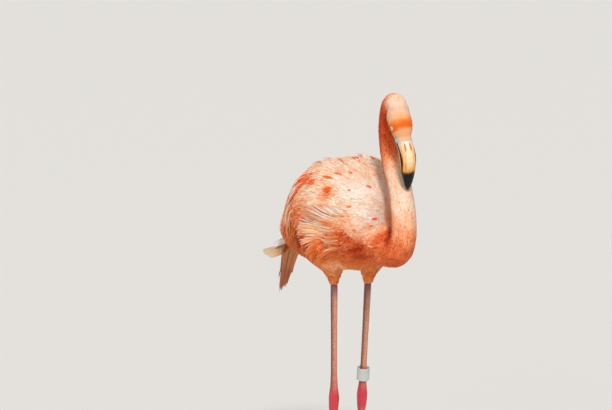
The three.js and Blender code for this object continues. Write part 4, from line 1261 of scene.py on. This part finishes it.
def makeLegSkin():
    piece = remeshed(legNodes, "legSkin", skinPlan["legVoxel"], 7)
    co, normals = points(piece.data), normalsOf(piece.data)
    places = toBird(co)
    z = places[:, 2]
    outward = places[:, :2] - legAxisAt(places)
    turn = np.arctan2(outward[:, 1], outward[:, 0])
    front = np.cos(turn)
    wander = scutes["wander"] * grain(places * [0.2, 0.2, 1], scutes["wanderSize"])
    plates = ridges(z + wander + scutes["slope"] * np.abs(turn), scutes["tall"])
    onShaft = smooth(*scutes["shaft"], z) * smooth(*scutes["facing"], front)
    reach = np.hypot(*outward.T)
    onToes = smooth(*scutes["foot"], z) * smooth(*scutes["footUp"], normals[:, 2])
    onToes = onToes * smooth(*scutes["footOut"], reach)
    rise = plates * onShaft + scutes["footDeep"] * ridges(reach, scutes["footTall"]) * onToes
    rise = scutes["deep"] * rise + scutes["grain"] * grain(places, scutes["grainSize"])
    co = co + normals * rise[:, None] / 1000
    top = smooth(skinPlan["hem"] - 6, skinPlan["hem"], z)[:, None]  # narrower under the thigh's feathers
    co[:, :2] -= outward * top * scutes["narrowing"] / 1000
    stretch = np.clip(toBird(co)[:, 2] - (skinPlan["hem"] - 4), 0, None) * (scutes["top"] / 4)
    co[:, 2] += stretch / 1000
    co[:, 2] = np.maximum(co[:, 2], 0)
    onToe = z < scutes["toeTop"]  # the skin goes in under the claws' bases
    spots, facing, _, gaps = nearest(clawTree, co[onToe])
    under = smooth(scutes["clawHem"], scutes["clawHem"] / 3, gaps * 1000)[:, None]
    inside = spots - facing * scutes["clawSunk"] / 1000
    co[onToe] = co[onToe] * (1 - under) + inside * under
    setPoints(piece.data, co)
    joint = hump(z, *legMarks["ankle"]) + legMarks["shinRed"] * smooth(*legMarks["shin"], z)
    joint += legMarks["footRed"] * smooth(*legMarks["foot"], z)
    dress(piece.data, {
        "front": front * 0.5 + 0.5, "joint": np.clip(joint, 0, 1), "plate": smooth(-0.6, 0.1, plates),
        "mauve": legMarks["mauveShare"] * smooth(*legMarks["mauve"], z),
        "web": smooth(*legMarks["web"], z) * smooth(*legMarks["webOut"], reach),
    })
    shadeSmooth(piece)
    return piece


def makeLegFinish():
    # Scuted horny skin, moulded in plates: satin, with darker skin in the grooves between plates.
    material, tree, shader = newMaterial("scutedLegSkin")
    coords = addNode(tree, "TexCoord", out="Object")
    mottle = addNode(tree, "TexNoise", {"Vector": coords, "Scale": 240, "Detail": 4, "Roughness": 0.65})
    # painted shade: the skin is darker brown towards the leg's back and paler at its front, partly its own
    # colour, and the dark blotches keep to the back
    place = addNode(tree, "Math", {0: mottle, 1: 0.8, 2: "front"}, operation="MULTIPLY_ADD")
    place = addNode(tree, "Math", {0: place, 1: 0.4}, operation="SUBTRACT")
    stops = [(0.2, "#4e2712"), (0.5, "#7c4528"), (0.76, "#a8694a"), (1, "#d0947c")]
    tint = addNode(tree, "ValToRGB", {"Fac": place}, stops=stops)
    marks = addNode(tree, "Mapping", {"Vector": coords, "Scale": (0.5, 0.5, 2.4)})
    blotch = addNode(tree, "TexNoise", {"Vector": marks, "Scale": 120, "Detail": 3})
    blotch = addNode(tree, "MapRange", {"Value": blotch, "From Min": 0.56, "From Max": 0.66, "To Max": 0.55})
    shaded = addNode(tree, "MapRange", {"Value": "front", "From Min": 0.75, "From Max": 0.35})
    blotch = addNode(tree, "Math", {0: blotch, 1: shaded}, operation="MULTIPLY")
    cells = addNode(tree, "TexVoronoi", {"Vector": coords, "Scale": 330}, feature="DISTANCE_TO_EDGE")
    cell = addNode(tree, "MapRange", {"Value": cells, "From Min": 0.0, "From Max": 0.12})
    onFront = addNode(tree, "MapRange", {"Value": "front", "From Min": 0.5, "From Max": 0.7})
    plates = addNode(tree, "Mix", {0: onFront, 2: cell, 3: "plate"}, data_type="FLOAT")
    groove = addNode(tree, "MapRange", {"Value": plates, "From Min": 1, "From Max": 0, "To Max": 0.34})
    tint = layColours(tree, tint, [
        (blotch, "#5e342c"), ("joint", "#cc3642"), ("mauve", "#6d4650"), ("web", "#d98a8c"),
        (groove, "#6b4238"),
    ])
    bump = addNode(tree, "Bump", {"Height": plates, "Strength": 0.35, "Distance": 0.0005})
    connect(tree, shader, {"Base Color": tint, "Normal": bump, "Roughness": 0.42, "IOR": 1.5})
    return material


legSkin = makeLegSkin()
legSkin.data.materials.append(makeLegFinish())
print("legs made", len(legSkin.data.polygons) * 2)

clawPlan = {"voxel": 0.0006, "fuller": 0.45}


def makeGrained(name, scale, detail, stops, strength, finish, rough=0.5):
    # A plain finish whose colour and bump both follow one fine grain, in which finish sets the gloss.
    material, tree, shader = newMaterial(name)
    coords = addNode(tree, "TexCoord", out="Object")
    settings = {"Vector": coords, "Scale": scale, "Detail": detail, "Roughness": rough}
    texture = addNode(tree, "TexNoise", settings)
    tint = addNode(tree, "ValToRGB", {"Fac": texture}, stops=stops)
    bump = addNode(tree, "Bump", {"Height": texture, "Strength": strength, "Distance": 0.0002})
    connect(tree, shader, {"Base Color": tint, "Normal": bump, **finish})
    return material


# Keratin horn, grown in layers: satin, and darker and lighter by turns.
clawStops = [(0.3, "#2c211e"), (0.7, "#4e3a34")]
clawFinish = makeGrained("clawHorn", 420, 2, clawStops, 0.2, {"Roughness": 0.35, "IOR": 1.54})
for side, names in clawNodes.items():
    piece = remeshed(names, "claws" + side.title(), clawPlan["voxel"], 3)
    setPoints(piece.data, points(piece.data) + normalsOf(piece.data) * clawPlan["fuller"] / 1000)
    shadeSmooth(piece)
    finishPiece(piece, clawFinish, names)

# Bill: two jaws of horn
bill = {
    "voxel": 0.0008,
    "gape": ((22, -5), (44, -3.5), (63, -3), (77, -8), (89, -20), (101, -36), (113, -53), (120, -64)),
    "nostril": {"from": 0.21, "to": 0.32, "out": 5.6, "half": 1.5, "deep": 0.8, "offGape": 6},
    "groove": {"from": 0.24, "to": 0.7, "out": 8.2, "half": 1.5, "deep": 0.45, "offGape": 5},
    "ends": 0.03,  # over which a slit closes, as a share of the gape
    "halfWidths": ((0, 0.65, 0.93, 1), (17, 14, 6, 2)),  # along the gape, mm
    "black": 0.63, "blackEdge": (0.02, 0.1),
    "rooted": 5, "rootedWithin": (3.0, 0.8),  # mm into the head's skin, where it is as near as this
    "flank": (0.45, 0.8), "flankFrom": (0.12, 0.24),  # where its orange fades in, round and along the jaw
    "nostrilDark": 1.2, "grooveDark": 0.4, "corner": (0.15, 0.09), "cornerOff": 6,
    "lowerShift": 5,  # so that the lower jaw's growth lines differ
}


def alongBill(level):  # share of the gape's length, and distance from the gape, on the level head
    line = curveThrough(np.array([(x, 0, z) for x, z in bill["gape"]], float))
    flat = level * [1, 0, 1]
    near = nearestOn(line, flat)
    return sharesAlong(line)[near], np.linalg.norm(flat - line[near], axis=1)


def slit(plan, share, out):  # 1 in the middle of a slit along both sides of the jaw's ridge
    start, end, soft = plan["from"], plan["to"], bill["ends"]
    ends = smooth(start - soft, start + soft, share) * smooth(end + soft, end - soft, share)
    return ends * hump(np.abs(out), plan["out"], plan["half"])


def makeBillFinish():
    # Worn horn: a soft shine over even colour, with faint growth lines.
    material, tree, shader = newMaterial("billHorn")
    coords = addNode(tree, "TexCoord", out="Object")
    grown = addNode(tree, "CombineXYZ", {0: "along", 1: "around"})
    grown = addNode(tree, "Mapping", {"Vector": grown, "Scale": (3, 13, 1)})
    strokes = addNode(tree, "TexNoise", {"Vector": grown, "Scale": 1, "Detail": 2})
    toothed = addNode(tree, "Mapping", {"Vector": grown, "Scale": (0.2, 1.5, 1)})
    teeth = addNode(tree, "TexNoise", {"Vector": toothed, "Scale": 1, "Detail": 1})
    jag = addNode(tree, "Math", {0: teeth, 1: 0.2, 2: "along"}, operation="MULTIPLY_ADD")
    black = bill["black"] + 0.1
    stops = [
        (0.25, "#bdbcb6"), (0.3, "#e6e0d2"), (0.36, "#fae6be"), (0.6, "#fbd9a0"), (black - 0.05, "#f6b95e"),
        (black - 0.008, "#ea8a2c"), (black + 0.008, "#0c0605"), (1, "#080403"),
    ]
    tint = addNode(tree, "ValToRGB", {"Fac": jag}, stops=stops)
    stroke = addNode(tree, "MapRange", {"Value": strokes, "From Min": 0.42, "From Max": 0.62, "To Min": 0.35})
    flank = addNode(tree, "Math", {0: "flank", 1: stroke}, operation="MULTIPLY")
    scored = addNode(tree, "MapRange", {"Value": strokes, "From Min": 0.6, "From Max": 0.67})
    scored = addNode(tree, "Math", {0: flank, 1: scored}, operation="MULTIPLY")
    streaks = addNode(tree, "MapRange", {"Value": "streaks", "From Min": 0.1, "From Max": 0.8})
    gape = addNode(tree, "MapRange", {"Value": "offGape", "From Min": 2.3, "From Max": 1.4})
    overlays = [(flank, "#f09a30"), (scored, "#5e2c10"), (streaks, "#cf6c1c"), (gape, "#1c120d")]
    tint = layColours(tree, tint, overlays)
    lines = addNode(tree, "TexNoise", {"Vector": coords, "Scale": 700, "Detail": 2})
    bump = addNode(tree, "Bump", {"Height": lines, "Strength": 0.12, "Distance": 0.0002})
    connect(tree, shader, {
        "Base Color": tint, "Normal": bump, "Roughness": 0.36, "IOR": 1.54, "Specular IOR Level": 0.22,
    })
    return material


def makeJaw(node, name, finish):
    jaw = remeshed([node], name, bill["voxel"], 5)
    co = points(jaw.data)
    level = toLevelHead(toBird(co))
    share, off = alongBill(level)
    upper = node == "bill_upper"
    cuts = {}
    for key in ("nostril", "groove"):
        cuts[key] = slit(bill[key], share, level[:, 1]) * (off > bill[key]["offGape"])
    cuts["nostril"] *= upper
    sunk = sum(bill[key]["deep"] * cut for key, cut in cuts.items())
    rooted = smooth(*bill["rootedWithin"], gapsTo(regionTrees["head"], co)) * bill["rooted"]
    moved = -normalsOf(jaw.data) * (sunk * (rooted < 0.5))[:, None] - headAxes[:, 0] * rooted[:, None]
    setPoints(jaw.data, co + moved / 1000)
    around = level[:, 1] / np.interp(share, *bill["halfWidths"])
    after, before = bill["blackEdge"]
    beforeBlack = smooth(bill["black"] + after, bill["black"] - before, share)
    streaks = cuts["nostril"] * bill["nostrilDark"] + cuts["groove"] * bill["grooveDark"] * beforeBlack
    dress(jaw.data, {
        "along": share, "around": around + (0 if upper else bill["lowerShift"]),
        "flank": smooth(*bill["flank"], np.abs(around)) * smooth(*bill["flankFrom"], share) * beforeBlack,
        "streaks": np.clip(streaks, 0, 1),
        "offGape": off + bill["cornerOff"] * smooth(*bill["corner"], share),
    })
    shadeSmooth(jaw)
    finishPiece(jaw, finish, [node])


billFinish = makeBillFinish()
makeJaw("bill_upper", "billUpper", billFinish)
makeJaw("bill_lower", "billLower", billFinish)
print("bill made")


# Eyes, and the bare lids round them
def eyeAxes(side):  # out of the eye, forward along the head, and up, on the bird
    out = unit(np.array((0.22, side, 0.02), float))
    up = unit(np.array((0, 0, 1.0)) - out * out[2])
    ahead = np.cross(up, out) * side
    return [headAxes @ v for v in (out, ahead, up)]


def makeEyeFinish():
    # The wet front of the eye: a clear film over the iris, so highlights are small and hard.
    material, tree, shader = newMaterial("wetEye")
    coords = addNode(tree, "TexCoord", out="Object")
    rays = addNode(tree, "TexNoise", {"Vector": coords, "Scale": 900, "Detail": 2})
    place = addNode(tree, "Math", {0: rays, 1: 0.05, 2: "offAxis"}, operation="MULTIPLY_ADD")
    pupil, iris = eye["pupil"] / eye["radius"] + 0.02, eye["iris"] / eye["radius"] + 0.02
    stops = [
        (pupil - 0.02, "#0c0a08"), (pupil + 0.02, "#e2b83c"), ((pupil + iris) / 2, "#f4de84"),
        (iris - 0.05, "#f2e6a4"), (iris + 0.01, "#7a5a2c"), (1, "#3a2318"),
    ]
    tint = addNode(tree, "ValToRGB", {"Fac": place}, stops=stops)
    connect(tree, shader, {
        "Base Color": tint, "Roughness": 0.2, "IOR": 1.38, "Coat Weight": 1, "Coat Roughness": 0.03,
    })
    return material


def makeEye(name, centre, side, finish):
    out, ahead, up = eyeAxes(side)
    bpy.ops.mesh.primitive_uv_sphere_add(segments=48, ring_count=32, radius=eye["radius"] / 1000)
    ball = bpy.context.object
    ball.name = ball.data.name = name
    co = points(ball.data) * 1000
    off = np.hypot(co[:, 0], co[:, 1])
    front = co[:, 2] > 0
    bulge = eye["cornea"] * np.clip(1 - (off / eye["iris"]) ** 2, 0, 1) * front
    co[:, 2] += bulge - 0.15
    turned = co[:, :1] * ahead + co[:, 1:2] * up + co[:, 2:] * out
    setPoints(ball.data, (centre - out * eye["sunk"] + turned) / 1000 + originArray)
    editAll(ball, (bpy.ops.mesh.normals_make_consistent, {"inside": False}))
    shadeSmooth(ball)
    dress(ball.data, {"offAxis": np.where(front, off / eye["radius"], 1)})
    finishPiece(ball, finish, [name])


def makeLid(centre, side, name):
    # A soft ring that lies on the eyeball inside and sinks into the head outside, lower at the upper lid.
    out, ahead, up = eyeAxes(side)
    plan = eye["lid"]
    around, each = plan["around"], len(plan["profile"])
    lean = np.array(Matrix.Rotation(math.radians(plan["tilt"]), 2))
    rows = []
    for i in range(around):
        angle = 2 * math.pi * i / around
        c, s = math.cos(angle), math.sin(angle)
        pointed = 1 + 0.12 * abs(c) ** 6
        high = plan["high"] * (0.9 if s > 0 else 1.0)
        flat = lean @ (plan["across"] * c * pointed, high * s)
        outwards = flat / np.linalg.norm(flat)
        for wide, rise in plan["profile"]:
            spot = flat + outwards * wide * plan["thick"] * (1.15 + 0.45 * max(s, 0))
            reach = math.sqrt(max(eye["radius"] ** 2 - min(spot @ spot, 36.0), 0.5)) + rise * plan["thick"]
            rows.append(centre + ahead * spot[0] + up * spot[1] + out * (reach - eye["sunk"]))
    faces = []
    for i in range(around):
        here, there = i * each, (i + 1) % around * each
        for j in range(each):
            k = (j + 1) % each
            faces.append((here + j, there + j, there + k, here + k))
    mesh = bpy.data.meshes.new(name)
    mesh.from_pydata([tuple(v) for v in np.array(rows) / 1000 + originArray], [], faces)
    lid = newPiece(name, mesh)
    editAll(lid, (bpy.ops.mesh.normals_make_consistent, {"inside": False}))
    applyModifier(lid, "SUBSURF", levels=1, render_levels=1)
    shadeSmooth(lid)
    return lid


# The lids: bare skin round the eye, finely wrinkled and a little moist
lidStops = [(0.3, "#d88d68"), (0.7, "#eeb594")]
lidFinish = makeGrained("bareLidSkin", 850, 3, lidStops, 0.3, {"Roughness": 0.45, "IOR": 1.45})
eyeFinish = makeEyeFinish()
lids = []
for name, centre, side in (("eye_right", eyeCentres[0], -1), ("eye_left", eyeCentres[1], 1)):
    makeEye(name, centre, side, eyeFinish)
    lids.append(makeLid(centre, side, "lid"))
    lids[-1].data.materials.append(lidFinish)
print("eyes made")

# Leg band: a plain rigid plastic ring, with no marks but its grooves
legBand = {
    "outer": 13.8, "lip": 12.4, "inner": 9.2, "height": 28, "funnel": 11, "bevel": 0.7,
    "grooves": (11.8, 8.6, 5.4), "grooveDeep": 0.45, "grooveHalf": 0.45,
}


def makeLegBand():
    low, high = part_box("leg_band")
    middle = (low + high) / 2
    axis = (Vector(legs["left"]["knee"]) - Vector(legs["left"]["ankle"])).normalized()
    outer, inner, lip = (legBand[key] for key in ("outer", "inner", "lip"))
    half, edge = legBand["height"] / 2, legBand["bevel"]
    deep, wide = legBand["grooveDeep"], legBand["grooveHalf"]
    outline = [(inner + edge, -half), (outer - edge, -half), (outer, -half + edge)]
    for down in legBand["grooves"]:
        z = half - down
        outline += [(outer, z - wide), (outer - deep, z - wide / 3)]
        outline += [(outer - deep, z + wide / 3), (outer, z + wide)]
    outline += [
        (outer, half - edge), (outer - edge, half), (lip, half), (lip - edge, half - edge),
        (inner, half - legBand["funnel"]), (inner, -half + edge),
    ]
    turn = Vector((0, 0, 1)).rotation_difference(axis).to_matrix().to_4x4()
    place = Matrix.Translation(middle) @ turn
    mesh = bpy.data.meshes.new("legBand")
    ring = [place @ Vector((r / 1000, 0, z / 1000)) for r, z in outline]
    mesh.from_pydata(ring, [(i, (i + 1) % len(ring)) for i in range(len(ring))], [])
    band = newPiece("legBand", mesh)
    editAll(
        band, (bpy.ops.mesh.spin, {"steps": 72, "angle": 2 * math.pi, "center": middle, "axis": axis}),
        (bpy.ops.mesh.remove_doubles, {"threshold": weld}),
        (bpy.ops.mesh.normals_make_consistent, {"inside": False}),
    )
    bpy.ops.object.shade_smooth_by_angle(angle=math.radians(40))
    # Moulded plastic, gone slightly chalky outdoors: matt, with fine scuffs.
    stops = [(0.3, "#b4b9b7"), (0.65, "#ccd0cd")]
    gloss = {"Roughness": 0.5, "IOR": 1.46}
    finish = makeGrained("weatheredGreyPlastic", 330, 4, stops, 0.15, gloss, rough=0.7)
    finishPiece(band, finish, ["leg_band"])


makeLegBand()
print("band made")

for piece, surface in ((bodySkin, surfaceOf(bodySkin)), (headSkin, headSurface)):
    values = markingsAt(surface["co"], surface["sizes"], surface["shares"], surface["neckPlace"])
    values["blaze"] = np.zeros(len(surface["co"]))
    dress(piece.data, values)
    piece.data.materials.append(skinPlumage)
    shadeSmooth(piece)

onlySelect(bodySkin, headSkin, legSkin, *lids)
bpy.ops.object.join()
bodySkin.name = bodySkin.data.name = "skin"
finishPiece(bodySkin, replaced=fleshNodes + legNodes)
print("skin joined", len(bodySkin.data.polygons) * 2, "triangles")
